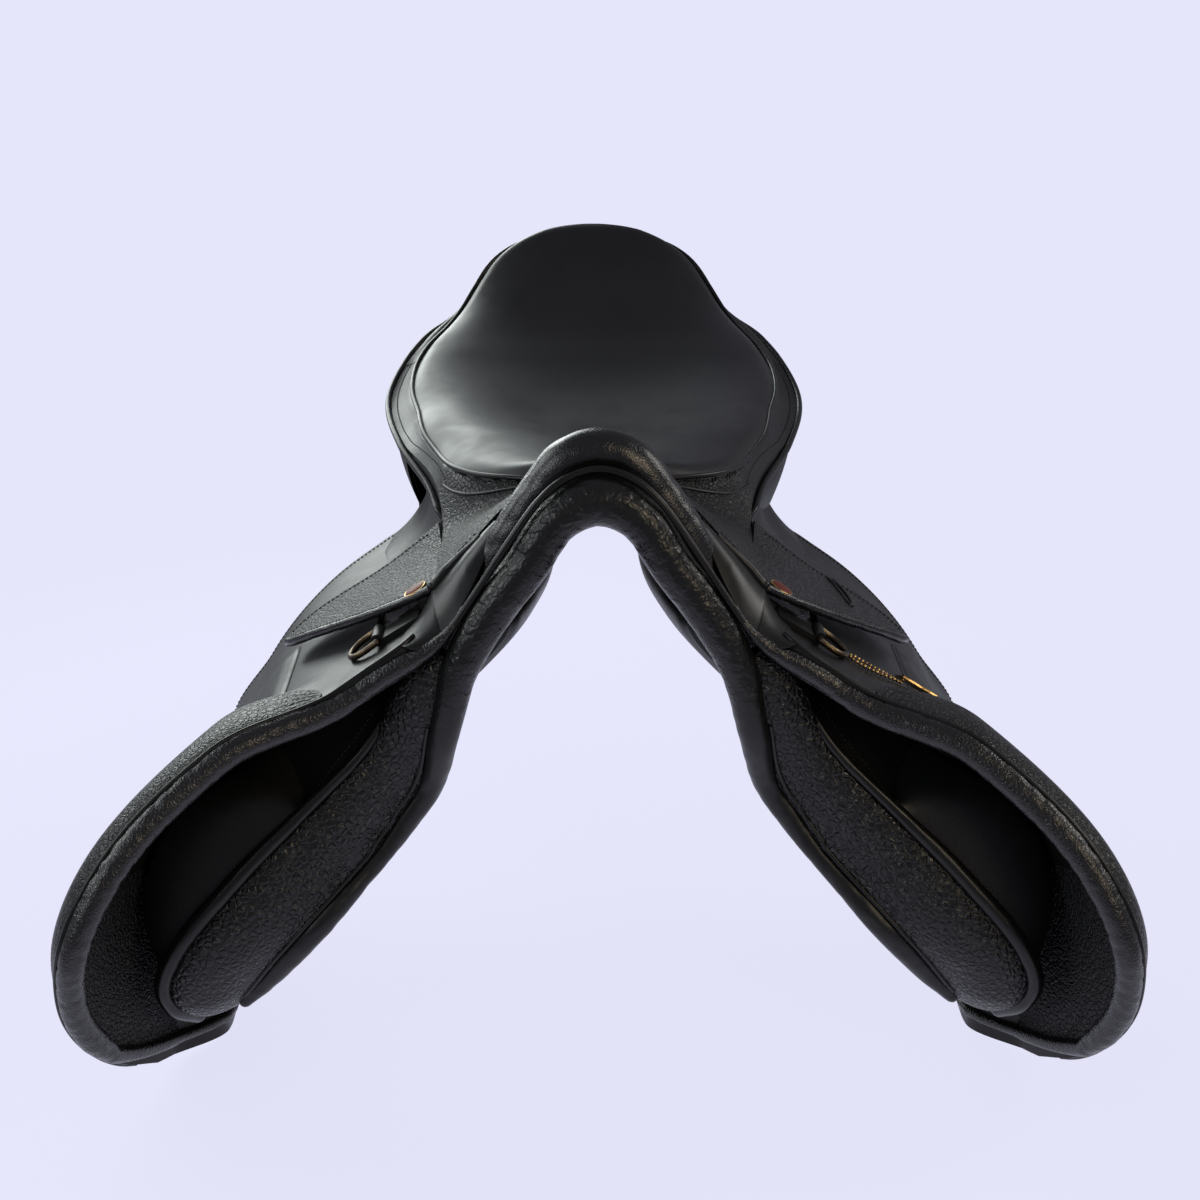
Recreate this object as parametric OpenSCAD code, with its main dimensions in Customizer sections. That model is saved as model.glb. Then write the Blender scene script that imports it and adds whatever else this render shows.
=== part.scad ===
// Jumping saddle: tree, seat, panels, flaps and fittings.
// X runs across the saddle, -Y to the pommel, +Z up; the origin lies on the horse's back.

/* [Seat] */
// From the middle of the seat forward to the top of the pommel
pommel_reach = 215; // [200:1:230]
// From the middle of the seat back to the top of the cantle
cantle_reach = 215; // [205:1:230]
// Height of the seat at its middle
seat_height = 48; // [44:1:54]
// Height of the seat line where it meets the pommel
pommel_height = 110; // [100:1:118]
// Height of the cantle
cantle_height = 160; // [150:1:172]
// Width of the seat at its widest
seat_width = 298; // [286:1:310]
// Width of the waist between the skirts
waist_width = 205; // [203:1:206]
// Depth of the seat cushion over its base
cushion_depth = 16; // [12:0.5:18]
// Width of the band between the cushion and the rim
band_width = 15; // [10:1:20]
// Front of the seat cushion, ahead of the middle of the seat
cushion_front = 140; // [130:1:146]
// Radius of the welt round the rim
welt_radius = 2.2; // [1.6:0.1:3]

/* [Pommel] */
// Radius of the rolled leather at the top of the pommel
pommel_roll_radius = 14; // [10:0.5:14.5]
// Radius of the front facing at the top of the gullet
facing_radius = 16; // [12:0.5:17]
// Radius of the piping between them
piping_radius = 2.4; // [1.5:0.1:2.8]

/* [Leather] */
// Seat leather
seat_leather = 2; // [1.5:0.1:3]
// Leather of the seat base
base_leather = 3; // [2:0.1:4]
// Skirt leather
skirt_leather = 4; // [3:0.1:5]
// Flap leather
flap_leather = 5; // [4:0.1:6]
// Leather of the under flap
sweat_leather = 4; // [3:0.1:5]
// Girth strap leather
strap_leather = 3.5; // [2.5:0.1:3.8]

/* [Drape of the flaps] */
// Height of the line on which flap and skirt turn
hinge_height = 8; // [6:0.5:10]
// Lean from the vertical of the leather at the top
top_lean = 58; // [55:0.5:60]
// Straight length at the top of the leather, at the front
front_straight = 170; // [160:1:176]
// Radius of the bend below it, at the front
front_bend = 165; // [155:1:172]
// Lean from the vertical past the bend, at the front
front_tuck = -15; // [-20:1:-10]
// Straight length at the top of the leather, at the rear
rear_straight = 90; // [80:1:100]
// Radius of the bend below it, at the rear
rear_bend = 205; // [195:1:220]
// Lean from the vertical past the bend, at the rear
rear_tuck = -5; // [-10:1:0]

/* [Layers] */
// Room between skirt and flap for the stirrup leather
bar_room = 10; // [9.5:0.5:13]
// Room between flap and under flap for the girth straps
strap_room = 11; // [10.5:0.5:14]
// Depth of the knee block over the level of the girth straps
knee_block_depth = 26; // [20:1:28]
// Depth of the thigh block
thigh_block_depth = 16; // [12:1:20]
// Depth of the padded front of the panel
front_pad_depth = 46; // [38:1:48]
// Depth of the padded strip on the flap
knee_roll_depth = 9; // [6:0.5:12]
// Radius of the rolled edge of the flap
binding_radius = 5; // [3.5:0.1:5.2]
// Gap between soft pieces that lie together
fit = 0.3; // [0.2:0.05:0.5]
// Gap between soft pieces with curved faces
soft_gap = 2; // [1.6:0.1:2.4]

/* [Girth straps] */
// Width of a strap
strap_width = 26; // [22:1:27]
// Distance between neighbouring straps
strap_pitch = 30; // [29:0.5:31]
// Place of the middle strap
strap_middle = -135; // [-138:1:-132]
// Drape length at the lower end of a strap
strap_drop = 350; // [320:1:355]
// Radius of a buckle hole
buckle_hole = 2.5; // [2:0.1:3]
// Distance between buckle holes
hole_pitch = 25; // [20:1:28]
// Radius of the rivet that each strap hangs on
strap_rivet = 3; // [2.5:0.1:3.5]

/* [Stirrup bar] */
// Length of the blade
bar_length = 76; // [70:1:78]
// Width of the blade
bar_width = 18; // [14:1:20]
// Thickness of the blade
bar_thick = 4.5; // [3.5:0.1:5]
// Length of the catch past its pin
catch_length = 23; // [18:1:25]
// Radius of the catch pin
pin_radius = 2; // [1.5:0.1:2.5]
// Running clearance of pins and rivets
pin_clearance = 0.05; // [0.02:0.01:0.09]

/* [Dees and nails] */
// Radius of a dee's loop
dee_radius = 13; // [11:0.5:14]
// Radius of a dee's wire
dee_wire = 2.1; // [1.6:0.1:2.4]
// Radius of a nail head
nail_radius = 6.5; // [5:0.5:6.5]
// Height of a nail head
nail_height = 2.2; // [1.5:0.1:2.4]
// Radius of a chain bead
bead_radius = 1.2; // [1:0.1:1.4]

/* [Hidden] */

leather = [0.07, 0.07, 0.075];
grain_leather = [0.1, 0.1, 0.1];
steel = [0.6, 0.6, 0.62];
dark_metal = [0.25, 0.22, 0.18];
brass = [0.72, 0.56, 0.28];
webbing = [0.8, 0.77, 0.68];
wood = [0.75, 0.6, 0.4];
foam = [0.85, 0.82, 0.7];

// Numbers and curves

function unit(v) = v / norm(v);
function mix(a, b, t) = a + (b - a) * t;
function clamp(v) = min(max(v, 0), 1);
function ease(a, b, v) = let (t = clamp((v - a) / (b - a))) t * t * (3 - 2 * t);
function steps(a, b, count) = [for (i = [0 : count]) mix(a, b, i / count)];

// Slope of a table of stations at row k; a station starts with its own place
function slope(table, k) =
  let (a = table[max(k - 1, 0)], b = table[min(k + 1, len(table) - 1)]) (b - a) / (b[0] - a[0]);

// Smooth row of a table at place v, held at the table's ends
function station(table, v) =
  let (
    last = len(table) - 1,
    place = min(max(v, table[0][0]), table[last][0]),
    below = [for (i = [0 : last - 1]) if (place >= table[i][0]) i],
    k = below[len(below) - 1],
    h = table[k + 1][0] - table[k][0],
    t = (place - table[k][0]) / h
  )
  (2 * pow(t, 3) - 3 * t * t + 1) * table[k] + (pow(t, 3) - 2 * t * t + t) * h * slope(table, k)
  + (3 * t * t - 2 * pow(t, 3)) * table[k + 1] + (pow(t, 3) - t * t) * h * slope(table, k + 1);

// Smooth line through hand-set points, count points to a span
function bend(p, i, t) =
  let (a = p[max(i - 1, 0)], b = p[i], c = p[i + 1], d = p[min(i + 2, len(p) - 1)])
  0.5 * (2 * b + (c - a) * t + (2 * a - 5 * b + 4 * c - d) * t * t + (3 * b - a - 3 * c + d) * pow(t, 3));
function smooth_line(p, count) =
  [for (i = [0 : len(p) - 2], j = [0 : count - 1]) bend(p, i, j / count), p[len(p) - 1]];

function flipped(p) = [for (i = [1 : len(p)]) p[len(p) - i]];
function other_side(p) = [for (i = [0 : len(p) - 1]) i == 0 ? -p[0] : p[i]];
// A line of points that starts on the centre plane, with its mirror image before it
function arch(p) = concat([for (q = flipped(p)) if (q[0] > 0) other_side(q)], p);

// Solids

// Solid between two grids of points; cells that keep() refuses are left open
module skin(outer, inner, keep = function(i, j) true) {
  rows = len(outer) - 1;
  cols = len(outer[0]) - 1;
  row = floor(rows / 2);
  col = floor(cols / 2);
  facing = cross(outer[row + 1][col] - outer[row][col], outer[row][col + 1] - outer[row][col])
    * (outer[row][col] - inner[row][col]);
  function id(side, i, j) = (side * (rows + 1) + i) * (cols + 1) + j;
  function has(i, j) = i >= 0 && j >= 0 && i < rows && j < cols && keep(i, j);
  function turned(f) = facing > 0 ? f : flipped(f);
  function wall(i, j, k, l) = [
    turned([id(0, i, j), id(1, i, j), id(1, k, l)]),
    turned([id(0, i, j), id(1, k, l), id(0, k, l)])
  ];
  faces = [
    for (i = [0 : rows - 1], j = [0 : cols - 1]) if (has(i, j)) each concat(
      [
        turned([id(0, i, j), id(0, i, j + 1), id(0, i + 1, j + 1)]),
        turned([id(0, i, j), id(0, i + 1, j + 1), id(0, i + 1, j)]),
        turned([id(1, i, j), id(1, i + 1, j + 1), id(1, i, j + 1)]),
        turned([id(1, i, j), id(1, i + 1, j), id(1, i + 1, j + 1)])
      ],
      has(i - 1, j) ? [] : wall(i, j, i, j + 1),
      has(i + 1, j) ? [] : wall(i + 1, j + 1, i + 1, j),
      has(i, j - 1) ? [] : wall(i + 1, j, i, j),
      has(i, j + 1) ? [] : wall(i, j + 1, i + 1, j + 1)
    )
  ];
  polyhedron([for (grid = [outer, inner], line = grid, p = line) p], faces);
}

// Solid through closed rings of points, joined to its own start or closed by a fan at each end
module loft(rings, closed = false) {
  sides = len(rings[0]);
  count = len(rings);
  function id(i, j) = (i % count) * sides + j % sides;
  function mean(ring) = [for (q = ring) 1] * ring / len(ring);
  facing = cross(rings[0][1] - rings[0][0], rings[1][0] - rings[0][0]) * (rings[0][0] - mean(rings[0]));
  function turned(f) = facing < 0 ? f : flipped(f);
  walls = [
    for (i = [0 : count - (closed ? 1 : 2)], j = [0 : sides - 1]) each [
      turned([id(i, j), id(i, j + 1), id(i + 1, j + 1)]),
      turned([id(i, j), id(i + 1, j + 1), id(i + 1, j)])
    ]
  ];
  caps = closed ? [] : [
    for (j = [0 : sides - 1]) each [
      turned([count * sides, id(0, j + 1), id(0, j)]),
      turned([count * sides + 1, id(count - 1, j), id(count - 1, j + 1)])
    ]
  ];
  middles = closed ? [] : [mean(rings[0]), mean(rings[count - 1])];
  polyhedron(concat([for (ring = rings, p = ring) p], middles), concat(walls, caps));
}

// Direction of a line of points at point i
function heading(path, i, closed = false) =
  let (last = len(path) - 1)
  unit(
    path[closed ? (i + 1) % (last + 1) : min(i + 1, last)]
    - path[closed ? (i + last) % (last + 1) : max(i - 1, 0)]
  );

// Round tube along a line of points; up must never lie along the line
module tube(path, radii, up, sides = 10) {
  loft([
    for (i = [0 : len(path) - 1])
      let (along = heading(path, i), across = unit(cross(up, along)), over = cross(along, across))
      [
        for (j = [0 : sides - 1]) let (a = 360 * j / sides)
          path[i] + radii[i] * (cos(a) * across + sin(a) * over)
      ]
  ]);
}

// Drape of the flap leathers: s runs down the leather from the hinge line, n outwards from the skirt's face

hinge_half = waist_width / 2 + 1.5;
drape_front = -320;
drape_rear = -175;

function drape_set(y) =
  mix(
    [top_lean - 1, front_straight, front_bend, front_tuck],
    [top_lean, rear_straight, rear_bend, rear_tuck],
    ease(drape_front, drape_rear, y)
  );
function drape_arc(d) = d[2] * (d[0] - d[3]) * PI / 180;
function drape_turn(d, s) = d[0] - clamp((s - d[1]) / drape_arc(d)) * (d[0] - d[3]);
function drape_lean(y, s) = drape_turn(drape_set(y), s);
function drape(y, s, n) =
  let (
    d = drape_set(y),
    a = drape_turn(d, s),
    top = min(s, d[1]),
    tail = max(s - d[1] - drape_arc(d), 0)
  )
  [
    hinge_half + top * sin(d[0]) + d[2] * (cos(a) - cos(d[0])) + tail * sin(a) + n * cos(a),
    y,
    hinge_height - top * cos(d[0]) + d[2] * (sin(a) - sin(d[0])) - tail * cos(a) + n * sin(a)
  ];

// Puts children at a place on the drape, with their X down the leather and Z outwards
module on_drape(y, s, n) {
  translate(drape(y, s, n)) rotate([0, 90 - drape_lean(y, s), 0]) children();
}

skirt_inner = -skirt_leather;
flap_leg = skirt_inner - bar_room;
sweat_outer = flap_leg - flap_leather - strap_room;
block_gap = 4;
flap_knee = sweat_outer + fit + knee_block_depth + block_gap + flap_leather;
flap_thigh = sweat_outer + fit + thigh_block_depth + block_gap + flap_leather;

// Outer face of the flap, which stands off over the knee block and the thigh block
function flap_face(y, s) =
  flap_leg
  + (flap_knee - flap_leg) * ease(-188, -228, y) * ease(75, 150, s)
  + (flap_thigh - flap_leg) * ease(-96, -72, y) * ease(185, 240, s);

// Outlines on the drape, each row a drape length and the front and rear edge there
flap_outline = [
  [14, -236, -40], [34, -239, -12], [54, -243, 10], [76, -248, 6], [99, -255, 0], [140, -275, -6],
  [188, -300, -9], [240, -325, -10], [285, -334, -14], [320, -324, -24], [350, -311, -38], [378, -292, -62],
  [394, -272, -92], [402, -246, -126]
];
skirt_outline = [
  [0, -205, -106], [20, -198, -99], [50, -181, -95], [80, -160, -95], [104, -142, -99], [118, -129, -105],
  [124, -120, -111]
];
sweat_outline = [
  [40, -212, -62], [90, -227, -59], [160, -243, -55], [230, -258, -52], [300, -268, -54], [340, -266, -66],
  [365, -254, -90], [375, -232, -115]
];

// Outer face of the under flap, which lies deeper at the front, behind the knee block
under_dip = [
  [40, 12], [70, 28], [110, 35], [165, 38], [215, 35], [255, 29], [290, 19], [320, 8], [345, -2], [375, -8]
];
function under_face(y, s) = sweat_outer - station(under_dip, s)[1] * ease(-190, -236, y);

// Grid over an outline: its rows at the lengths given, its columns at the shares given, at height n(y, s)
function leaf(outline, lengths, shares, n) = [
  for (s = lengths) let (edge = station(outline, s))
    [for (u = shares) let (y = mix(edge[1], edge[2], u)) drape(y, s, n(y, s))]
];

// Seat: half width, height of the rim and height of the cushion's seam at places along the saddle

waist_half = waist_width / 2;
seat_half = seat_width / 2;
rim_table = [
  [-pommel_reach + 14, waist_half, hinge_height + 1.5, 50],
  [-150, waist_half, hinge_height + 2.5, 60],
  [-105, waist_half - 0.5, hinge_height + 11, 55],
  [-60, seat_half - 37, seat_height - 18, 53],
  [0, seat_half - 14, seat_height - 6, 60],
  [75, seat_half, seat_height + 7, 71],
  [130, seat_half - 11, seat_height + 26, 88],
  [cantle_reach - 40, seat_half - 37, cantle_height - 63, 114],
  [cantle_reach - 15, seat_half - 55, cantle_height - 41, 135],
  [cantle_reach - 5, seat_half - 78, cantle_height - 20, 146],
  [cantle_reach, seat_half - 107, cantle_height - 7, 154]
];
function seam_shift(y) =
  (cantle_height - 160) * ease(60, cantle_reach, y) + (seat_height - 48) * ease(150, 20, y);
function rim_half(y) = station(rim_table, y)[1];
function rim_height(y) = station(rim_table, y)[2];
function seam_height(y) = station(rim_table, y)[3] + seam_shift(y);
function seat_line(y) =
  y < 0 ? seat_height + (pommel_height - seat_height) * pow(y / pommel_reach, 2)
        : seat_height + (cantle_height - seat_height) * pow(y / cantle_reach, 2.3);

// Base of the seat, a leather skin over the tree
function base_ridge(y) = seat_line(y) - cushion_depth * ease(-pommel_reach + 20, -cushion_front - 5, y);
base_crown = [1.25, 2.3];
function base_height(x, y) =
  let (crown = mix(base_crown[0], base_crown[1], ease(-pommel_reach + 10, -pommel_reach + 75, y)))
  rim_height(y) + (base_ridge(y) - rim_height(y)) * (1 - pow(clamp(abs(x) / rim_half(y)), crown));
roll_set_back = 8;
base_front = -pommel_reach + roll_set_back + pommel_roll_radius + fit;
function base_grid(drop) = [
  for (v = [0, 0.05, 0.11, 0.18, 0.25, 0.34, 0.45, 0.56, 0.67, 0.76, 0.84, 0.9, 0.95, 0.98, 1]) [
    for (u = [-1, -0.9, -0.78, -0.62, -0.42, -0.2, 0, 0.2, 0.42, 0.62, 0.78, 0.9, 1])
      let (
        front = mix(base_front, -pommel_reach + 15, ease(0.55, 0.8, abs(u))),
        y = mix(front, cantle_reach, v),
        x = u * rim_half(y)
      )
      [x, y, base_height(x, y) - drop]
  ]
];

// Seat cushion
cushion_rear = cantle_reach - 3;
function cushion_half(y) =
  (rim_half(y) - band_width * (1 - 0.7 * ease(110, cantle_reach - 10, y)))
  * sqrt(1 - pow(clamp((45 - cushion_front - y) / 47), 2));
function cushion_height(u, y) = mix(seat_line(y), seam_height(y), pow(abs(u), 2.6));
cushion_rows = [0, 0.012, 0.04, 0.09, 0.16, 0.25, 0.36, 0.48, 0.6, 0.71, 0.81, 0.89, 0.95, 0.985, 1];
cushion_cols = [-1, -0.94, -0.82, -0.62, -0.38, -0.13, 0.13, 0.38, 0.62, 0.82, 0.94, 1];

// Top of the cushion, pulled in by a margin
function cushion_point(u, row, margin) =
  let (y = mix(-cushion_front + margin, cushion_rear - margin, row))
  [u * (cushion_half(y) - margin), y, cushion_height(u, y) - margin];
function on_base(p, gap) = [p[0], p[1], base_height(p[0], p[1]) + gap];
function cushion_top(margin) =
  [for (row = cushion_rows) [for (u = cushion_cols) cushion_point(u, row, margin)]];

// The same with a foot round it that stands on the base
function cushion_grid(margin, foot) =
  let (last = len(cushion_rows) - 1, edge = len(cushion_cols) - 1)
  [
    for (i = [-1 : last + 1]) [
      for (j = [-1 : edge + 1])
        let (
          inside = i >= 0 && i <= last && j >= 0 && j <= edge,
          p = cushion_point(cushion_cols[min(max(j, 0), edge)], cushion_rows[min(max(i, 0), last)], margin),
          step = foot * [j < 0 ? -1 : j > edge ? 1 : 0, i < 0 ? -1 : i > last ? 1 : 0, 0]
        )
        inside ? p : on_base(p + step, 4 * fit)
    ]
  ];

// Centre pieces

tree_line = [
  [0, -pommel_reach + 31, pommel_height - 44], [30, -pommel_reach + 35, pommel_height - 54],
  [50, -pommel_reach + 46, 34], [58, -pommel_reach + 75, 16], [58, -pommel_reach + 115, 11], [58, -50, 19],
  [seat_half - 87, 20, 21], [seat_half - 76, 85, 31], [seat_half - 65, 140, 54],
  [seat_half - 69, cantle_reach - 34, cantle_height - 75],
  [seat_half - 107, cantle_reach - 20, cantle_height - 57], [0, cantle_reach - 17, cantle_height - 51]
];
tree_widths = [13, 13, 14, 16, 17, 17, 17, 16, 13, 9, 7, 7];
tree_half_thick = 5;
tree_path = smooth_line(tree_line, 3);
tree_half_widths = [for (w = smooth_line([for (w = tree_widths) [w, 0]], 3)) w[0]];

module tree_frame() {
  right = [for (i = [0 : len(tree_path) - 1]) concat(tree_path[i], tree_half_widths[i])];
  left = [for (i = [2 : len(right) - 1]) let (p = right[len(right) - i]) [-p[0], p[1], p[2], p[3]]];
  path = concat(right, left);
  points = [for (p = path) [p[0], p[1], p[2]]];
  color(wood) loft(closed = true, [
    for (i = [0 : len(path) - 1])
      let (
        along = heading(points, i, true),
        across = unit(cross([0, 0, 1], along)),
        over = cross(along, across)
      )
      [for (k = [[1, 1], [-1, 1], [-1, -1], [1, -1]])
        points[i] + k[0] * path[i][3] * across + k[1] * tree_half_thick * over]
  ]);
}

plate_half_thick = 1.5;
plate_drop = tree_half_thick + plate_half_thick + 5 * fit;
plate_line = arch([
  [0, tree_line[0][1], tree_line[0][2] - plate_drop], [20, tree_line[1][1], tree_line[1][2] - plate_drop + 4],
  [35, tree_line[2][1] - 5, 31], [45, tree_line[2][1] - 5, 13], [53, tree_line[2][1] - 5, 0]
]);

module gullet_plate() {
  color(steel) loft([
    for (i = [0 : len(plate_line) - 1])
      let (along = heading(plate_line, i), across = unit(cross([0, 1, 0], along)))
      [for (k = [[1, 1], [-1, 1], [-1, -1], [1, -1]])
        plate_line[i] + k[0] * plate_half_thick * across + k[1] * 10 * [0, 1, 0]]
  ]);
}

tree_rivet = 2.5;
module tree_rivets() {
  color(steel) for (y = [-5, 5])
    translate([0, plate_line[4][1] + y, plate_line[4][2] - plate_half_thick - tree_rivet - soft_gap])
      cylinder(r = 2 * tree_rivet, h = tree_rivet, $fn = 32);
}

web_drop = base_leather + 4 * fit;
module seat_webbing() {
  function strip(x, drop) = [
    for (y = steps(-pommel_reach + 65, cantle_reach - 43, 9))
      [for (k = [-18, 0, 18]) [x + k, y, base_height(x + k, y) - drop]]
  ];
  color(webbing) for (x = [-22, 22]) skin(strip(x, web_drop), strip(x, web_drop + 1.8));
}

module seat_base() {
  color(leather) skin(base_grid(0), base_grid(base_leather));
}

module seat_foam() {
  top = cushion_top(seat_leather + fit);
  color(foam) skin(top, [for (line = top) [for (p = line) on_base(p, soft_gap)]]);
}

module seat_cover() {
  color(leather) skin(cushion_grid(0, 1.2), cushion_grid(seat_leather, 0.8));
}

module seat_welt() {
  half = [
    for (y = [-78, -60, -30, 0, 30, 60, 85, 110, 135, 155, cantle_reach - 40, cantle_reach - 26,
              cantle_reach - 15, cantle_reach - 8, cantle_reach - 4])
      [rim_half(y) + welt_radius + 5 * fit, y, rim_height(y) - 1]
  ];
  back = [for (k = [0.8, 0.4, 0]) [k * rim_half(cantle_reach), cantle_reach + welt_radius + 5 * fit,
                                   base_height(k * rim_half(cantle_reach), cantle_reach) - 1]];
  path = arch(flipped(concat(half, back)));
  color(leather) tube(path, [for (p = path) welt_radius], [0, 0, 1], 8);
}

// Panels: centre, half width, half depth and tilt at places along the saddle
panel_table = [
  [-207, 80, -37, 34, 9, 48], [-198, 79, -37, 40, 13, 47], [-170, 76, -36, 46, 16, 44],
  [-110, 72, -35, 50, 18, 39], [-50, 74, -25, 52, 20, 33], [30, 78, -16, 53, 19, 26],
  [110, 82, 2, 54, 20, 20], [170, 84, 25, 52, 19, 15], [200, 84, 38, 48, 14, 13], [212, 84, 43, 42, 8, 13]
];
function panel_top(x, y) =
  let (p = station(panel_table, y)) p[2] + p[4] / cos(p[5]) - (abs(x) - p[1]) * tan(p[5]);
function puff(v) = sign(v) * pow(abs(v), 0.7);

module panel() {
  color(leather) loft([
    for (y = [-207, -204, -198, -186, -170, -145, -110, -80, -50, -10, 30, 70, 110, 145, 170, 188, 200, 208,
              212])
      let (p = station(panel_table, y))
      [
        for (j = [0 : 15])
          let (a = puff(cos(22.5 * j)) * p[3], b = puff(sin(22.5 * j)) * p[4])
          [p[1] + a * cos(p[5]) + b * sin(p[5]), y, p[2] - a * sin(p[5]) + b * cos(p[5])]
      ]
  ]);
}

// Leather wall from the rim down to the panels, from side to side round the cantle
wall_leather = 3;
wall_inset = 3;
wall_top = concat(
  [for (k = [0, 0.5, 1]) let (x = k * (rim_half(cantle_reach) - wall_inset)) [x, cantle_reach - wall_inset]],
  [
    for (y = [cantle_reach - 5, cantle_reach - 11, cantle_reach - 22, cantle_reach - 38, 155, 125, 95, 60, 25,
              -10, -40, -70, -84])
      [rim_half(y) - wall_inset, y - wall_inset]
  ]
);
function wall_point(i, v, depth) =
  let (
    x = wall_top[i][0],
    y = wall_top[i][1],
    foot_x = 0.87 * x,
    foot_y = y - 9 * ease(140, cantle_reach, y),
    top = base_height(x, y) - base_leather - 2 * soft_gap,
    foot = panel_top(max(foot_x, 46), foot_y) + 4 * fit,
    p = [mix(x, foot_x, v * v), mix(y, foot_y, v * v), mix(top, foot, v)],
    inward = unit([p[0], max(p[1] - 60, 0), 0])
  )
  p - depth * inward;

module rear_facing() {
  function side(depth, i) = [for (v = [0, 0.25, 0.5, 0.75, 1]) wall_point(i, v, depth)];
  function lined(depth) = concat(
    [for (i = [1 : len(wall_top) - 1]) [for (p = side(depth, len(wall_top) - i)) other_side(p)]],
    [for (i = [0 : len(wall_top) - 1]) side(depth, i)]
  );
  color(leather) skin(lined(0), lined(wall_leather));
}

// Pommel: rows of across, along, height and radius, from the top down
pommel_line = [
  [0, roll_set_back, -14, 0], [20, roll_set_back, -21, 0], [36, roll_set_back, -40, -1],
  [53, roll_set_back, -65, -2], [66, roll_set_back, -88, -3.5], [76, roll_set_back, -104, -5],
  [87, roll_set_back - 2, -116, -7]
];
facing_line = [
  [0, -10, -39.6, 0], [25, -13.4, -51, -2], [44, -15, -79.5, -2.5], [66, -16, -110, -3], [86, -16, -146, -4],
  [97, -11, -190, -5.5]
];
piping_line = [
  [0, -11.5, -20], [20, -14.5, -25], [37, -17.5, -39], [56, -18.5, -66], [75, -18.5, -96], [97, -19.5, -129]
];
function pommel_place(p) = [p[0], p[1] - pommel_reach, p[2] + pommel_height];

// The facing goes on down the front of the panel: place along, drape length, depth and radius
facing_leg = [
  [-209, 72, -108, -6.5], [-211, 100, -121, -7], [-218, 140, -127, -8.5], [-227, 188, -128, -9],
  [-235, 225, -126, -8.5], [-241, 262, -121.5, -7.5], [-244, 300, -113, -7], [-243, 335, -98, -7],
  [-240, 355, -78, -8.5], [-238, 368, -60, -11]
];

module arched_roll(line, radius) {
  rows = arch(smooth_line([for (p = line) [p[0], p[1], p[2], radius + p[3]]], 3));
  tube([for (p = rows) [p[0], p[1], p[2]]], [for (p = rows) p[3]], [0, 1, 0], 10);
}

module pommel_roll() {
  color(grain_leather) arched_roll([for (p = pommel_line) concat(pommel_place(p), p[3])], pommel_roll_radius);
}

module front_facing() {
  top = [for (p = facing_line) concat(pommel_place(p), p[3])];
  leg = [for (p = facing_leg) concat(drape(p[0], p[1], p[2]), p[3])];
  color(grain_leather) arched_roll(concat(top, leg), facing_radius);
}

module pommel_piping() {
  path = arch([for (p = smooth_line(piping_line, 3)) pommel_place(p)]);
  color(leather) tube(path, [for (p = path) piping_radius], [0, 1, 0], 8);
}

// Flap and what it carries, drawn for the right side

notch_front = 4;
notch_rear = 9;
module flap() {
  lengths = [14, 34, 54, 76, 99, 128, 158, 188, 222, 255, 285, 312, 334, 352, 368, 380, 390, 397, 402];
  shares = [0, 0.025, 0.065, 0.13, 0.215, 0.32, 0.42, 0.53, 0.63, 0.74, 0.87, 1];
  open_rows = 2;
  color(leather) skin(
    leaf(flap_outline, lengths, shares, function(y, s) flap_face(y, s)),
    leaf(flap_outline, lengths, shares, function(y, s) flap_face(y, s) - flap_leather),
    function(i, j) i >= open_rows || j < notch_front || j >= notch_rear
  );
}

function dome(a, b) = (1 - pow(abs(a), 2.6)) * (1 - pow(abs(b), 2.6));

// Padded solid on a face of the drape between two edges of drape length s
module padding(lengths, front, rear, seat, depth, hem) {
  shares = [0, 0.08, 0.25, 0.5, 0.75, 0.92, 1];
  last = len(lengths) - 1;
  function grid(top) = [
    for (i = [0 : last]) let (s = lengths[i], a = 2 * (s - lengths[0]) / (lengths[last] - lengths[0]) - 1) [
      for (u = shares)
        let (y = mix(front(s), rear(s), u))
        drape(y, s, seat(y, s) + (top ? hem + (depth(y, s) - hem) * dome(a, 2 * u - 1) : 0))
    ]
  ];
  skin(grid(true), grid(false));
}

knee_roll_widths = [30, 46];
module knee_roll() {
  edge = function(s) station(flap_outline, s)[1] + 5;
  color(grain_leather) padding(
    steps(96, 384, 13), edge,
    function(s) edge(s) + mix(knee_roll_widths[0], knee_roll_widths[1], ease(96, 160, s)),
    function(y, s) flap_face(y, s) + 3 * fit, function(y, s) knee_roll_depth, 1.5
  );
}

module flap_binding() {
  edge = [
    for (s = [30, 50, 72, 99, 130, 160, 188, 222, 255, 285, 312, 335, 355, 372, 385])
      [station(flap_outline, s)[1] + 6, s, soft_gap]
  ];
  hem_line = [[-268, 391], [-245, 395.5], [-215, 396], [-185, 396], [-155, 396]];
  hem = [for (p = hem_line) [p[0], p[1], 2 * soft_gap]];
  path = [
    for (p = concat(edge, hem))
      drape(p[0], p[1], flap_face(p[0], p[1]) - flap_leather - p[2] - binding_radius)
  ];
  color(grain_leather) tube(path, [for (p = path) binding_radius], [0.8, 0, 0.6], 8);
}

module skirt() {
  lengths = [0, 10, 20, 35, 50, 65, 80, 93, 104, 112, 118, 122, 124];
  shares = [0, 0.1, 0.3, 0.5, 0.7, 0.9, 1];
  color(grain_leather) skin(
    leaf(skirt_outline, lengths, shares, function(y, s) 0),
    leaf(skirt_outline, lengths, shares, function(y, s) skirt_inner)
  );
}

nail_place = [-196, 10.5];
module nail() {
  rim = 0.45 * nail_height;
  dome_half = 0.78 * nail_radius;
  color("saddlebrown") on_drape(nail_place[0], nail_place[1], fit / 3)
    rotate_extrude($fn = 48) polygon(concat(
    [[0, 0], [nail_radius, 0], [nail_radius, rim], [nail_radius - 0.5, rim + 0.4], [dome_half, rim + 0.4]],
    [for (a = [15 : 15 : 90]) [dome_half * cos(a), rim + (nail_height - rim) * sin(a)]]
  ));
}

// Under flap, blocks and the padded front of the panel

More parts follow.
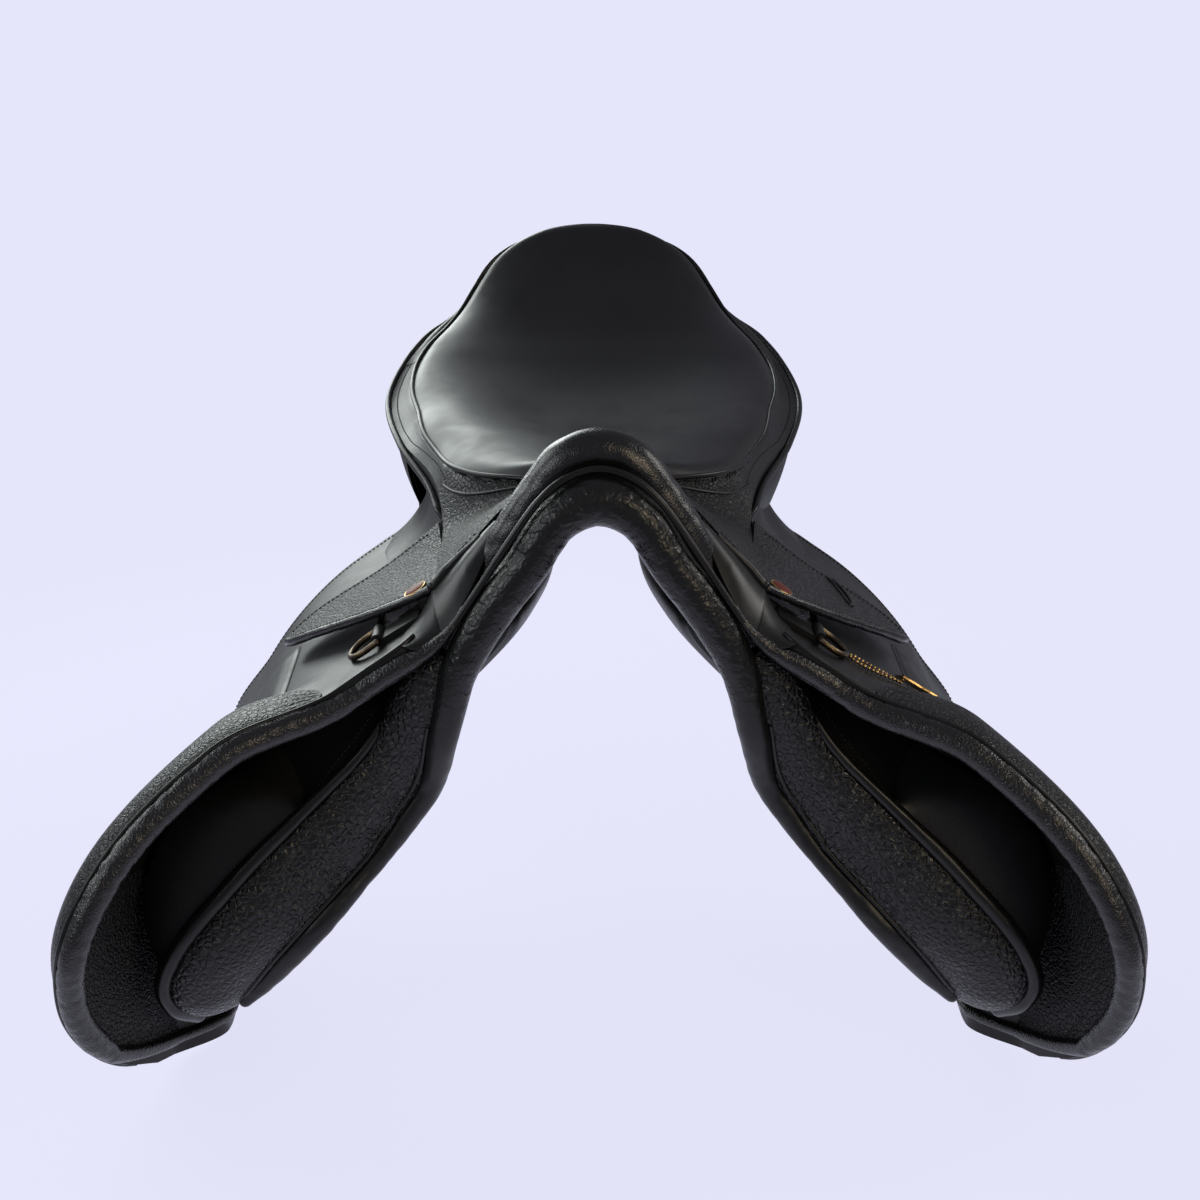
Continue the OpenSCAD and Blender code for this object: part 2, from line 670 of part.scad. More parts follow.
module sweat_flap() {
  lengths = [40, 65, 90, 125, 160, 195, 230, 265, 300, 322, 340, 354, 365, 372, 375];
  shares = [0, 0.05, 0.13, 0.22, 0.31, 0.4, 0.6, 0.8, 1];
  color(leather) skin(
    leaf(sweat_outline, lengths, shares, function(y, s) under_face(y, s)),
    leaf(sweat_outline, lengths, shares, function(y, s) under_face(y, s) - sweat_leather)
  );
}

knee_block_width = 46;
module knee_block() {
  edge = function(s) station(sweat_outline, s)[1];
  color(leather) padding(
    steps(150, 350, 10), function(s) edge(s) + 4, function(s) edge(s) + 4 + knee_block_width,
    function(y, s) under_face(y, s) + soft_gap,
    function(y, s) knee_block_depth + sweat_outer - under_face(y, s), 2
  );
}

thigh_block_span = [-72, -49];
module thigh_block() {
  color(leather) padding(
    steps(240, 345, 6), function(s) thigh_block_span[0],
    function(s) thigh_block_span[1] - 14 * ease(315, 345, s),
    function(y, s) sweat_outer + fit, function(y, s) thigh_block_depth, 2
  );
}

// Share of the front pad's depth at a drape length
pad_shares = [
  [54, 0.52], [72, 0.62], [100, 0.86], [140, 0.97], [190, 1], [260, 1], [310, 1], [335, 0.9], [355, 0.6],
  [368, 0.32], [374, 0.15]
];
pad_rear = -140;
module panel_front_pad() {
  edge = function(s) station(sweat_outline, s)[1];
  lengths = [54, 72, 100, 125, 155, 190, 225, 260, 290, 315, 335, 350, 362, 370, 374];
  shares = [0, 0.04, 0.1, 0.2, 0.33, 0.48, 0.64, 0.82, 1];
  function swell(s, u) =
    front_pad_depth * station(pad_shares, s)[1]
    * pow(clamp(u / 0.12 + 0.1), 0.5) * (1 - 0.88 * ease(0.2, 1, u));
  function grid(deep) = [
    for (s = lengths) [
      for (u = shares)
        let (y = mix(edge(s) + 3, pad_rear, u))
        drape(y, s, under_face(y, s) - sweat_leather - soft_gap - (deep ? 3 + swell(s, u) : 0))
    ]
  ];
  color(grain_leather) skin(grid(true), grid(false));
}

// Girth straps: the middle one hangs under the other two

strap_pivot = 44;
strap_lift = 1.5;
layer_gap = 1.2;
strap_places = [strap_middle - strap_pitch, strap_middle, strap_middle + strap_pitch];
function strap_low(k) = sweat_outer + strap_lift + (k == 1 ? 0 : strap_leather + layer_gap);
web_low = sweat_outer + strap_lift + 2 * strap_leather + layer_gap + 0.5;
web_thick = 2;

module girth_strap(k) {
  lengths = concat([strap_pivot - 12, 66], steps(90, strap_drop - 14, 13), [strap_drop]);
  y = strap_places[k];
  low = strap_low(k);
  function grid(n) = [
    for (s = lengths)
      let (half = strap_width / 2 * (1 - 0.45 * ease(strap_drop - 14, strap_drop, s)))
      [for (side = [-1, 1]) drape(y + side * half, s, n)]
  ];
  color(leather) difference() {
    skin(grid(low + strap_leather), grid(low));
    on_drape(y, strap_pivot, low + strap_leather / 2)
      cylinder(r = strap_rivet + pin_clearance, h = 3 * strap_leather, center = true, $fn = 32);
    for (hole = [1 : 6]) on_drape(y, strap_drop - hole * hole_pitch, low + strap_leather / 2)
      cylinder(r = buckle_hole, h = 3 * strap_leather, center = true, $fn = 24);
  }
}

module girth_web() {
  edge = strap_width / 2 - 2;
  lengths = [-20, 10, strap_pivot + 8];
  ends = [strap_places[0] - edge, strap_places[2] + edge];
  function grid(n) = [for (s = lengths) [for (y = ends) drape(y, s, n)]];
  color(webbing) difference() {
    skin(grid(web_low + web_thick), grid(web_low));
    for (y = strap_places) on_drape(y, strap_pivot, web_low)
      cylinder(r = strap_rivet + pin_clearance, h = 4 * web_thick, center = true, $fn = 32);
  }
}

rivet_head = 0.6;
module strap_rivets() {
  color(steel) for (k = [0 : 2]) {
    length = web_low + web_thick - strap_low(k);
    on_drape(strap_places[k], strap_pivot, strap_low(k)) {
      translate([0, 0, -rivet_head]) cylinder(r = strap_rivet, h = length + 2 * rivet_head, $fn = 32);
      translate([0, 0, -pin_clearance - rivet_head]) cylinder(r = strap_rivet + 2, h = rivet_head, $fn = 32);
      translate([0, 0, length + pin_clearance]) cylinder(r = strap_rivet + 2, h = rivet_head, $fn = 32);
    }
  }
}

// Stirrup bar with its catch

bar_front = -pommel_reach + 39;
bar_place = 34;
bar_top = skirt_inner - 4.5;
shank_width = 14;
pin_inset = 6;
catch_thick = 2.2;
rail_edge = 77;
bar_root = (rail_edge - hinge_half - bar_top * cos(top_lean)) / sin(top_lean) - bar_place;

module stirrup_bar() {
  half = bar_width / 2 - bar_thick / 2;
  color(steel) on_drape(bar_front, bar_place, bar_top) difference() {
    union() {
      translate([-half, 0, -bar_thick]) cube([2 * half, bar_length, bar_thick]);
      for (x = [-half, half]) translate([x, 0, -bar_thick / 2]) rotate([-90, 0, 0])
        cylinder(d = bar_thick, h = bar_length, $fn = 32);
      translate([bar_root, 0, -bar_thick]) cube([-bar_root, shank_width, bar_thick]);
      translate([bar_root, -2, -bar_thick]) cube([12, bar_length - 2, bar_thick]);
    }
    translate([0, bar_length - pin_inset, -bar_thick - 1])
      cylinder(r = pin_radius + pin_clearance, h = bar_thick + 2, $fn = 32);
  }
}

module at_catch() {
  on_drape(bar_front + bar_length - pin_inset, bar_place, bar_top) children();
}

module bar_catch() {
  tongue = bar_width - 8;
  tongue_end = catch_length - tongue / 2;
  color(steel) at_catch() translate([0, 0, pin_clearance]) difference() {
    union() {
      cylinder(r = bar_width / 2 - 2, h = catch_thick, $fn = 48);
      translate([-tongue / 2, 0, 0]) cube([tongue, tongue_end, catch_thick]);
      translate([0, tongue_end, 0]) cylinder(d = tongue, h = catch_thick, $fn = 48);
    }
    translate([0, 0, -1]) cylinder(r = pin_radius + pin_clearance, h = catch_thick + 2, $fn = 32);
  }
}

module catch_pin() {
  head = 0.8;
  rise = catch_thick + 2 * pin_clearance;
  color(steel) at_catch() {
    translate([0, 0, -bar_thick]) cylinder(r = pin_radius, h = bar_thick + rise, $fn = 32);
    translate([0, 0, rise]) cylinder(r = pin_radius + 1.5, h = head, $fn = 32);
  }
}

// Dees and their tabs; a tab's loop turns round the straight side of the dee

loop_leather = 1.8;
loop_inner = dee_wire + pin_clearance;
loop_outer = loop_inner + loop_leather;
tab_half = dee_radius - dee_wire - 1.5;
dee_leg = 9;

// Dee in the XY plane, its straight side along Y
module dee() {
  rotate([90, 0, 0]) cylinder(r = dee_wire, h = 2 * dee_radius, center = true, $fn = 32);
  for (side = [-1, 1]) translate([0, side * dee_radius, 0]) {
    sphere(r = dee_wire, $fn = 32);
    rotate([0, 90, 0]) cylinder(r = dee_wire, h = dee_leg, $fn = 32);
  }
  translate([dee_leg, 0, 0]) rotate([0, 0, -90]) rotate_extrude(angle = 180, $fn = 64)
    translate([dee_radius, 0]) circle(r = dee_wire, $fn = 32);
}

// Loop round the straight side, with its leather running up the -X way
module dee_tab(length) {
  rotate([90, 0, 0]) linear_extrude(2 * tab_half, center = true) difference() {
    union() {
      circle(r = loop_outer, $fn = 48);
      translate([-length, -loop_outer]) square([length, 2 * loop_leather]);
    }
    circle(r = loop_inner, $fn = 48);
  }
}

dee_front_place = [-202, 46];
dee_front_lift = flap_leg + fit + loop_outer;
dee_front_dip = 5;

module at_dee_front() {
  on_drape(dee_front_place[0], dee_front_place[1], dee_front_lift) children();
}

module dee_front() {
  color(dark_metal) at_dee_front() rotate([0, dee_front_dip, 0]) dee();
}

module dee_tab_front() {
  color(leather) at_dee_front() dee_tab(30);
}

dee_rear_half = 45;
dee_rear_drop = 0.62;
dee_rear_stand = 2.6;
dee_rear_wall = wall_point(2, dee_rear_drop, 0);
dee_rear_place = [dee_rear_half, dee_rear_wall[1] + loop_outer + dee_rear_stand, dee_rear_wall[2]];
module at_dee_rear() {
  translate(dee_rear_place) rotate([0, 90, 90]) children();
}

module dee_rear() {
  color(dark_metal) at_dee_rear() dee();
}

module dee_tab_rear() {
  color(leather) at_dee_rear() dee_tab(22);
}

// Ball chain and blank tag that hang from the right front dee

function on_flap(y, s, lift) = drape(y, s, flap_face(y, s) + lift);
bead_pitch = 2.5 * bead_radius;
chain_half = 4;
chain_straight = 30;
chain_round = PI * chain_half;
chain_beads = floor(2 * (chain_straight + chain_round) / bead_pitch);
chain_start = dee_front_place[1] + dee_leg + dee_radius + dee_wire + bead_radius + fit;

chain_lift = bead_radius + 3 * fit;

// Place on the chain's loop, down from its start and across, at a length along it
function chain_place(d) =
  d < chain_straight ? [chain_half + d, chain_half]
  : d < chain_straight + chain_round ? let (a = (d - chain_straight) / chain_half * 180 / PI)
    [chain_half + chain_straight + chain_half * sin(a), chain_half * cos(a)]
  : d < 2 * chain_straight + chain_round ? [2 * chain_straight + chain_round + chain_half - d, -chain_half]
  : let (a = (d - 2 * chain_straight - chain_round) / chain_half * 180 / PI)
    [chain_half - chain_half * sin(a), -chain_half * cos(a)];

module tag_chain() {
  color(brass) for (k = [0 : chain_beads - 1]) {
    p = chain_place(k * bead_pitch);
    translate(on_flap(dee_front_place[0] + p[1], chain_start + p[0], chain_lift))
      sphere(r = bead_radius, $fn = 16);
  }
}

tag_length = 26;
tag_width = 15;
tag_thick = 1.2;
tag_lift = chain_lift + bead_radius + 3 * fit;
tag_place = [dee_front_place[0], chain_start + chain_straight + 2 * chain_half + tag_length / 2 - 3];

module swing_tag() {
  y = tag_place[0];
  s = tag_place[1];
  down = unit(on_flap(y, s + 8, 0) - on_flap(y, s - 8, 0));
  out = unit(cross(down, on_flap(y + 5, s, 0) - on_flap(y - 5, s, 0)));
  along = cross(out, down);
  p = on_flap(y, s, tag_lift);
  color(brass) multmatrix([for (i = [0 : 2]) [down[i], along[i], out[i], p[i]]]) difference() {
    translate([-tag_length / 2, -tag_width / 2, 0]) cube([tag_length, tag_width, tag_thick]);
    translate([4 - tag_length / 2, 0, -1]) cylinder(r = 1.6, h = tag_thick + 2, $fn = 24);
  }
}

module left() {
  mirror([1, 0, 0]) children();
}

tree_frame();
gullet_plate();
tree_rivets();
seat_webbing();
seat_base();
seat_foam();
seat_cover();
seat_welt();
rear_facing();
pommel_roll();
pommel_piping();
front_facing();
left() flap();  // flap_left
flap();  // flap_right
left() knee_roll();  // knee_roll_left
knee_roll();  // knee_roll_right
left() flap_binding();  // flap_binding_left
flap_binding();  // flap_binding_right
left() skirt();  // skirt_left
skirt();  // skirt_right
left() nail();  // nail_left
nail();  // nail_right
left() sweat_flap();  // sweat_flap_left
sweat_flap();  // sweat_flap_right
left() knee_block();  // knee_block_left
knee_block();  // knee_block_right
left() thigh_block();  // thigh_block_left
thigh_block();  // thigh_block_right
left() girth_strap(0);  // girth_strap_front_left
girth_strap(0);  // girth_strap_front_right
left() girth_strap(1);  // girth_strap_middle_left
girth_strap(1);  // girth_strap_middle_right
left() girth_strap(2);  // girth_strap_rear_left
girth_strap(2);  // girth_strap_rear_right
left() girth_web();  // girth_web_left
girth_web();  // girth_web_right
left() strap_rivets();  // strap_rivets_left
strap_rivets();  // strap_rivets_right
left() panel();  // panel_left
panel();  // panel_right
left() panel_front_pad();  // panel_front_pad_left
panel_front_pad();  // panel_front_pad_right
left() stirrup_bar();  // stirrup_bar_left
stirrup_bar();  // stirrup_bar_right
left() bar_catch();  // bar_catch_left
bar_catch();  // bar_catch_right
left() catch_pin();  // catch_pin_left
catch_pin();  // catch_pin_right
left() dee_front();  // dee_front_left
dee_front();  // dee_front_right
left() dee_tab_front();  // dee_tab_front_left
dee_tab_front();  // dee_tab_front_right
left() dee_rear();  // dee_rear_left
dee_rear();  // dee_rear_right
left() dee_tab_rear();  // dee_tab_rear_left
dee_tab_rear();  // dee_tab_rear_right
tag_chain();
swing_tag();
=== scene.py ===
import math

import bmesh
import bpy
import numpy as np
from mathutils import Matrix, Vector, noise


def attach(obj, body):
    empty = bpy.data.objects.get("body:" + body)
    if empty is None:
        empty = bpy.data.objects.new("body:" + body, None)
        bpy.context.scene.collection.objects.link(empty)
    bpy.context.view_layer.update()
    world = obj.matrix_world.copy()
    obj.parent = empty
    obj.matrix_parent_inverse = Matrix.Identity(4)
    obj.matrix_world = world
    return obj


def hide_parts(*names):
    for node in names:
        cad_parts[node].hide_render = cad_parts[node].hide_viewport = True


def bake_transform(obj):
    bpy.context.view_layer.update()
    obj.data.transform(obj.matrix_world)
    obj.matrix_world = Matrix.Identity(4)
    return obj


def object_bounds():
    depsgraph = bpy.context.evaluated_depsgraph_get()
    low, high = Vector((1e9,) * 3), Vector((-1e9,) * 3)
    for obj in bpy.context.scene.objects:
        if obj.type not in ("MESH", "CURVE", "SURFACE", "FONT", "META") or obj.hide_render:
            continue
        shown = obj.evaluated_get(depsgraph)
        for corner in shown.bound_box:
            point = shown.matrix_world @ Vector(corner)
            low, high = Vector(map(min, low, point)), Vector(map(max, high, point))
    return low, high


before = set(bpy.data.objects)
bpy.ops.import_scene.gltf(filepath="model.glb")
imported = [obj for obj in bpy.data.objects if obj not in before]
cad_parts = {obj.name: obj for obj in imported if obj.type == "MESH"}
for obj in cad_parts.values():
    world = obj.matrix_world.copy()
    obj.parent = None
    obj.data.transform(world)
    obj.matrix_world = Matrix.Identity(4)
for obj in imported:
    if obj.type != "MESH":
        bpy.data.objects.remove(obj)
cad_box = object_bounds()
scene = bpy.context.scene
scene.view_settings.view_transform = "Standard"
MM = 0.001

# Camera and light, in metres

CAMERA_PLACE = (-0.015, -1.414, 0.440)
CAMERA_TILT, CAMERA_PAN = 69.97, -0.75
LENS, SENSOR = 62.2, 36

# Name, place, aim, size, power and colour of each lamp
LAMPS = [
    ("window_light", (-0.9, 1.75, 0.75), (0, 0, 0.05), (1.4, 1.3), 30, (0.93, 1.0, 0.97)),
    ("side_light", (-1.8, 0.3, 0.9), (0, 0, 0.05), (1.1, 1.1), 16, (0.95, 1, 0.99)),
    ("fill_light", (-1.3, -1.1, 0.55), (-0.1, -0.1, -0.05), (0.7, 0.7), 6, (0.97, 1, 1)),
    ("room_light", (1.0, -1.4, 0.75), (0.1, -0.1, -0.05), (0.6, 0.9), 8, (1.0, 0.82, 0.58)),
    ("far_light", (1.9, 0.2, 1.0), (0.1, -0.1, 0), (0.9, 0.9), 13, (1.0, 0.97, 0.92)),
]


def linked(name, data):
    obj = bpy.data.objects.new(name, data)
    scene.collection.objects.link(obj)
    return obj


def make_camera():
    lens = bpy.data.cameras.new("camera")
    lens.lens = LENS
    lens.sensor_width = SENSOR
    camera = linked("camera", lens)
    camera.location = CAMERA_PLACE
    camera.rotation_euler = (math.radians(CAMERA_TILT), 0, math.radians(CAMERA_PAN))
    scene.camera = camera


def soft_lamp(name, place, aim, size, power, colour):
    lamp = bpy.data.lights.new(name, "AREA")
    lamp.shape = "RECTANGLE"
    lamp.size, lamp.size_y = size
    lamp.energy = power
    lamp.color = colour
    obj = linked(name, lamp)
    obj.location = place
    obj.rotation_euler = (Vector(aim) - Vector(place)).to_track_quat("-Z", "Y").to_euler()
    obj.visible_camera = False


make_camera()
for row in LAMPS:
    soft_lamp(*row)


# Node trees: sockets take part in plain sums, and every node comes from node()

class Value:
    def __init__(self, tree, socket):
        self.tree = tree
        self.socket = socket

    def sum(self, operation, a, b):
        return self.tree.node("ShaderNodeMath", {"operation": operation}, {0: a, 1: b})

    def __add__(self, other):
        return self.sum("ADD", self, other)

    __radd__ = __add__

    def __sub__(self, other):
        return self.sum("SUBTRACT", self, other)

    def __rsub__(self, other):
        return self.sum("SUBTRACT", other, self)

    def __mul__(self, other):
        return self.sum("MULTIPLY", self, other)

    __rmul__ = __mul__

    def __pow__(self, other):
        return self.sum("POWER", self, other)


class Tree:
    def __init__(self, tree):
        self.tree = tree

    def fill(self, node, values):
        for key, value in values.items():
            if isinstance(value, Value):
                self.tree.links.new(value.socket, node.inputs[key])
            else:
                node.inputs[key].default_value = value

    def node(self, kind, settings=None, values=None, out=0):
        made = self.tree.nodes.new(kind)
        for key, setting in (settings or {}).items():
            setattr(made, key, setting)
        self.fill(made, values or {})
        return Value(self, made.outputs[out]) if made.outputs else None

    def show(self, output, shader):
        self.fill(self.tree.nodes[output], {"Surface": shader})

    def pale_rays(self, mirrored):
        """Share of the pale background: for direct rays, mirrored ones and those let through."""
        seen = self.node("ShaderNodeLightPath", out="Is Camera Ray")
        glossy = self.node("ShaderNodeLightPath", out="Is Glossy Ray")
        through = self.node("ShaderNodeLightPath", out="Is Transmission Ray")
        return seen + glossy * mirrored + through


class Finish(Tree):
    SOCKETS = {"colour": "Base Color", "rough": "Roughness", "metal": "Metallic", "normal": "Normal",
               "specular": "Specular IOR Level"}

    def __init__(self, name):
        self.material = bpy.data.materials.new(name)
        self.material.use_nodes = True
        super().__init__(self.material.node_tree)
        self.shader = self.tree.nodes["Principled BSDF"]

    def coords(self):
        return self.node("ShaderNodeTexCoord", out="Object")

    def axis(self, place, letter):
        return self.node("ShaderNodeSeparateXYZ", None, {0: place}, out=letter)

    def stretched(self, place, scale):
        return self.node("ShaderNodeMapping", None, {"Vector": place, "Scale": scale})

    def cloud(self, place, scale, detail=3.0, rough=0.5):
        return self.node("ShaderNodeTexNoise", None,
                         {"Vector": place, "Scale": scale, "Detail": detail, "Roughness": rough})

    def cracks(self, place, scale):
        return self.node("ShaderNodeTexVoronoi", {"feature": "DISTANCE_TO_EDGE"},
                         {"Vector": place, "Scale": scale})

    def bands(self, place, direction, scale, distortion=0.0):
        return self.node("ShaderNodeTexWave", {"bands_direction": direction},
                         {"Vector": place, "Scale": scale, "Distortion": distortion})

    def warped(self, place, scale, amount):
        drift = self.node("ShaderNodeTexNoise", None, {"Vector": place, "Scale": scale, "Detail": 2.0},
                          out="Color")
        away = self.node("ShaderNodeVectorMath", {"operation": "SUBTRACT"}, {0: drift, 1: (0.5, 0.5, 0.5)})
        push = self.node("ShaderNodeVectorMath", {"operation": "SCALE"}, {0: away, "Scale": amount})
        return self.node("ShaderNodeVectorMath", {"operation": "ADD"}, {0: place, 1: push})

    def range(self, value, low, high, to_low=0.0, to_high=1.0):
        return self.node("ShaderNodeMapRange", {"interpolation_type": "SMOOTHSTEP"},
                         {"Value": value, "From Min": low, "From Max": high,
                          "To Min": to_low, "To Max": to_high})

    def folds(self, place, scale, detail, width):
        """Thin winding folds, 0 along their middle and 1 away from them."""
        fold = self.cloud(self.warped(place, 60, 0.012), scale, detail)
        return self.range((fold - 0.5) ** 2, 0.0, width)

    def blend(self, share, first, second):
        return self.node("ShaderNodeMix", {"data_type": "RGBA"},
                         {"Factor": share, 6: first, 7: second}, out=2)

    def bump(self, height, depth):
        return self.node("ShaderNodeBump", None, {"Height": height, "Distance": depth, "Strength": 1.0})

    def skin(self, **values):
        self.fill(self.shader, {self.SOCKETS[key]: value for key, value in values.items()})
        return self.material


# Finishes, with lengths in metres

COOL = (0.94, 1.0, 1.0)


def grey(level, tint=(1, 1, 1)):
    return (level * tint[0], level * tint[1], level * tint[2], 1)


def smooth_leather(name, level, rough, pore, shine=0.3):
    f = Finish(name)
    place = f.coords()
    worn = f.cloud(place, 14, detail=4)
    fine = f.cloud(place, 1500, detail=2)
    broad = f.cloud(f.warped(place, 30, 0.02), 90)
    height = fine * 0.6 + broad * 0.8
    return f.skin(colour=f.blend(worn, grey(level * 0.75, COOL), grey(level * 1.3, COOL)),
                  rough=f.range(worn * 0.75 + broad * 0.25, 0.3, 0.7, rough - 0.06, rough + 0.1),
                  normal=f.bump(height, pore), specular=shine)


def grain_leather(name, cell, depth, level, rough, wrinkle=0.0, smooth_from=None, small_share=0.35,
                  shine=0.3, crease_width=0.24):
    """Pebbled leather, with painted shade in its creases, with folds where wrinkle is given and plain behind
    smooth_from.
    """
    f = Finish(name)
    place = f.coords()
    bent = f.warped(place, 0.35 / cell, 0.6 * cell)
    pebble = f.range(f.cracks(bent, 1 / cell), 0.0, crease_width)
    relief = pebble + f.range(f.cracks(bent, 2.3 / cell), 0.0, 0.25) * small_share
    if smooth_from is not None:
        plain = f.range(f.axis(place, "Y"), smooth_from, smooth_from + 0.06)
        relief = relief * (1 - plain * 0.93)
        pebble = pebble * (1 - plain) + plain * 0.7
    height = relief + f.cloud(place, 45) * 0.5
    if wrinkle:
        height = height + f.folds(place, 110, 2, 0.012) * wrinkle
    worn = f.cloud(place, 12, detail=4)
    # Colour: painted shade darkens the creases of the pebbles, mixed with a random worn tone; the same mask
    # also sets the roughness
    crease_shade_and_wear = pebble * 0.7 + worn * 0.3
    return f.skin(colour=f.blend(crease_shade_and_wear, grey(level * 0.45, COOL), grey(level * 1.35, COOL)),
                  rough=f.range(crease_shade_and_wear, 0.1, 0.9, rough + 0.14, rough - 0.03),
                  normal=f.bump(height, depth), specular=shine)


def facing_leather(name, cell=0.0034):
    """Wrinkled grain round the gullet, with painted shade in its creases, that turns into smooth, darker
    leather down the panel's front.
    """
    f = Finish(name)
    place = f.coords()
    bent = f.warped(f.stretched(place, (0.7, 1.3, 0.7)), 110, 0.002)
    pebble = f.range(f.cracks(bent, 1 / cell), 0.0, 0.24)
    above = f.range(f.axis(place, "Z"), -0.09, -0.03)
    height = (pebble * 0.5 + f.folds(place, 75, 1, 0.02) * 1.4) * above + f.cloud(place, 500, detail=1) * 0.15
    worn = f.cloud(place, 12, detail=4)
    # Colour: painted shade darkens the grain's creases above; below, where the leather turns smooth, the
    # colour stays at the dark of the creases, so it is darker towards the bottom
    return f.skin(colour=f.blend(pebble * 0.6 * above + worn * 0.4, grey(0.004, COOL), grey(0.010, COOL)),
                  rough=f.range(pebble * above + worn * 0.5, 0.0, 1.5, 0.4, 0.24),
                  normal=f.bump(height, 0.00022), specular=0.35)


def worn_metal(name, light, dark, rough, size=90):
    f = Finish(name)
    place = f.coords()
    patch = f.range(f.cloud(place, size, detail=5, rough=0.6), 0.35, 0.65)
    scratch = f.cloud(f.stretched(place, (1, 9, 9)), 260, detail=2)
    return f.skin(colour=f.blend(patch, dark, light), metal=1.0,
                  rough=f.range(patch * 0.6 + scratch * 0.4, 0.2, 0.8, rough + 0.12, rough - 0.06),
                  normal=f.bump(scratch, 0.00006))


def thread(name):
    f = Finish(name)
    twist = f.bands(f.coords(), "DIAGONAL", 900.0, 1.5)
    return f.skin(colour=f.blend(twist, grey(0.008), grey(0.022)), rough=f.range(twist, 0.0, 1.0, 0.62, 0.5),
                  normal=f.bump(twist, 0.00015))


def woven(name, light, dark):
    f = Finish(name)
    place = f.coords()
    weave = f.bands(place, "X", 260.0) * 0.5 + f.bands(place, "Y", 180.0) * 0.5
    return f.skin(colour=f.blend(weave * 0.7 + f.cloud(place, 20) * 0.3, dark, light),
                  rough=f.range(weave, 0.0, 1.0, 0.9, 0.75), normal=f.bump(weave, 0.0006))


def laminated_wood(name):
    f = Finish(name)
    streak = f.cloud(f.warped(f.stretched(f.coords(), (9, 0.8, 9)), 6, 0.06), 26, detail=5)
    return f.skin(colour=f.blend(streak, (0.42, 0.25, 0.11, 1), (0.66, 0.46, 0.25, 1)),
                  rough=f.range(streak, 0.2, 0.8, 0.6, 0.42), normal=f.bump(streak, 0.0003))


def enamel(name):
    f = Finish(name)
    swirl = f.cloud(f.warped(f.coords(), 220, 0.004), 320, detail=4)
    return f.skin(colour=f.blend(swirl, (0.1, 0.02, 0.013, 1), (0.2, 0.05, 0.032, 1)),
                  rough=f.range(swirl, 0.2, 0.8, 0.42, 0.54), specular=0.2, normal=f.bump(swirl, 0.00005))


SEAT = smooth_leather("seat_leather", 0.003, 0.37, 0.0001, shine=0.46)
FLAP = smooth_leather("flap_leather", 0.007, 0.4, 0.00016)
PANEL = smooth_leather("panel_leather", 0.006, 0.38, 0.00018)
TRIM = smooth_leather("trim_leather", 0.007, 0.27, 0.00008)
STRAP = smooth_leather("strap_leather", 0.007, 0.48, 0.00025)
PEBBLE = grain_leather("pebble_leather", 0.0036, 0.0006, 0.008, 0.33)
PAD_GRAIN = grain_leather("pad_leather", 0.0043, 0.0006, 0.007, 0.27, small_share=0.05, shine=0.32,
                          crease_width=0.3)
FINE = grain_leather("fine_grain_leather", 0.0022, 0.00006, 0.005, 0.2, shine=0.5)
ROLL = grain_leather("roll_leather", 0.0026, 0.00012, 0.006, 0.25, wrinkle=0.25, small_share=0.15, shine=0.5)
STRIP = grain_leather("strip_leather", 0.0036, 0.00035, 0.007, 0.32)
WAIST = grain_leather("waist_leather", 0.0036, 0.0006, 0.0075, 0.35, smooth_from=-0.13)
FACING = facing_leather("facing_leather")
THREAD = thread("black_thread")
STEEL = worn_metal("bright_steel", (0.62, 0.62, 0.63, 1), (0.4, 0.4, 0.41, 1), 0.3)
DARK = worn_metal("dark_metal", (0.13, 0.095, 0.05, 1), (0.035, 0.03, 0.028, 1), 0.36, size=140)
BRASS = worn_metal("old_brass", (0.62, 0.43, 0.17, 1), (0.24, 0.15, 0.06, 1), 0.3, size=160)
ENAMEL = enamel("red_brown_enamel")
WEB = woven("webbing", (0.62, 0.58, 0.48, 1), (0.34, 0.31, 0.25, 1))
WOOD = laminated_wood("tree_wood")

# Curves, from here on in millimetres

MIRROR = np.array((-1, 1, 1))


def ease(a, b, v):
    t = np.clip((np.asarray(v, float) - a) / (b - a), 0, 1)
    return t * t * (3 - 2 * t)


def mix(a, b, t):
    return a + (b - a) * t


def unit(v):
    v = np.asarray(v, float)
    return v / np.maximum(np.linalg.norm(v, axis=-1, keepdims=True), 1e-9)


def points(x, y, z):
    return np.stack(np.broadcast_arrays(x, y, z), -1)


def runs(*spans):
    """Even steps over spans of start, end and count that follow each other."""
    parts = [np.linspace(*span) for span in spans]
    return np.concatenate(parts[:1] + [part[1:] for part in parts[1:]])


def slowing(start, end, count):
    """Steps that get shorter towards the end."""
    return start + (end - start) * np.sin(np.linspace(0, 1, count) * math.pi / 2)


def down_to_hem(spans, end, count):
    """Even steps that slow down over the last stretch, where an outline turns round."""
    return np.concatenate([runs(*spans), slowing(spans[-1][1], end, count)[1:]])


def cosine(count):
    """Shares from 0 to 1, closer together at both ends."""
    return 0.5 - 0.5 * np.cos(np.linspace(0, math.pi, count))


def across(count):
    """Shares from -1 to 1, closer together at both sides."""
    return np.sin(np.linspace(-1, 1, count) * math.pi / 2)


def station(table, v):
    """Rows of a table at places between its own, on a smooth curve through them."""
    table = np.asarray(table, float)
    last = len(table) - 1
    order = np.arange(last + 1)
    low, high = np.maximum(order - 1, 0), np.minimum(order + 1, last)
    slope = (table[high] - table[low]) / (table[high, 0] - table[low, 0])[:, None]
    place = np.clip(np.asarray(v, float), table[0, 0], table[last, 0])
    k = np.clip(np.searchsorted(table[:, 0], place, side="right") - 1, 0, last - 1)
    h = table[k + 1, 0] - table[k, 0]
    t = ((place - table[k, 0]) / h)[..., None]
    h = h[..., None]
    return ((2 * t ** 3 - 3 * t ** 2 + 1) * table[k] + (t ** 3 - 2 * t ** 2 + t) * h * slope[k]
            + (3 * t ** 2 - 2 * t ** 3) * table[k + 1] + (t ** 3 - t ** 2) * h * slope[k + 1])


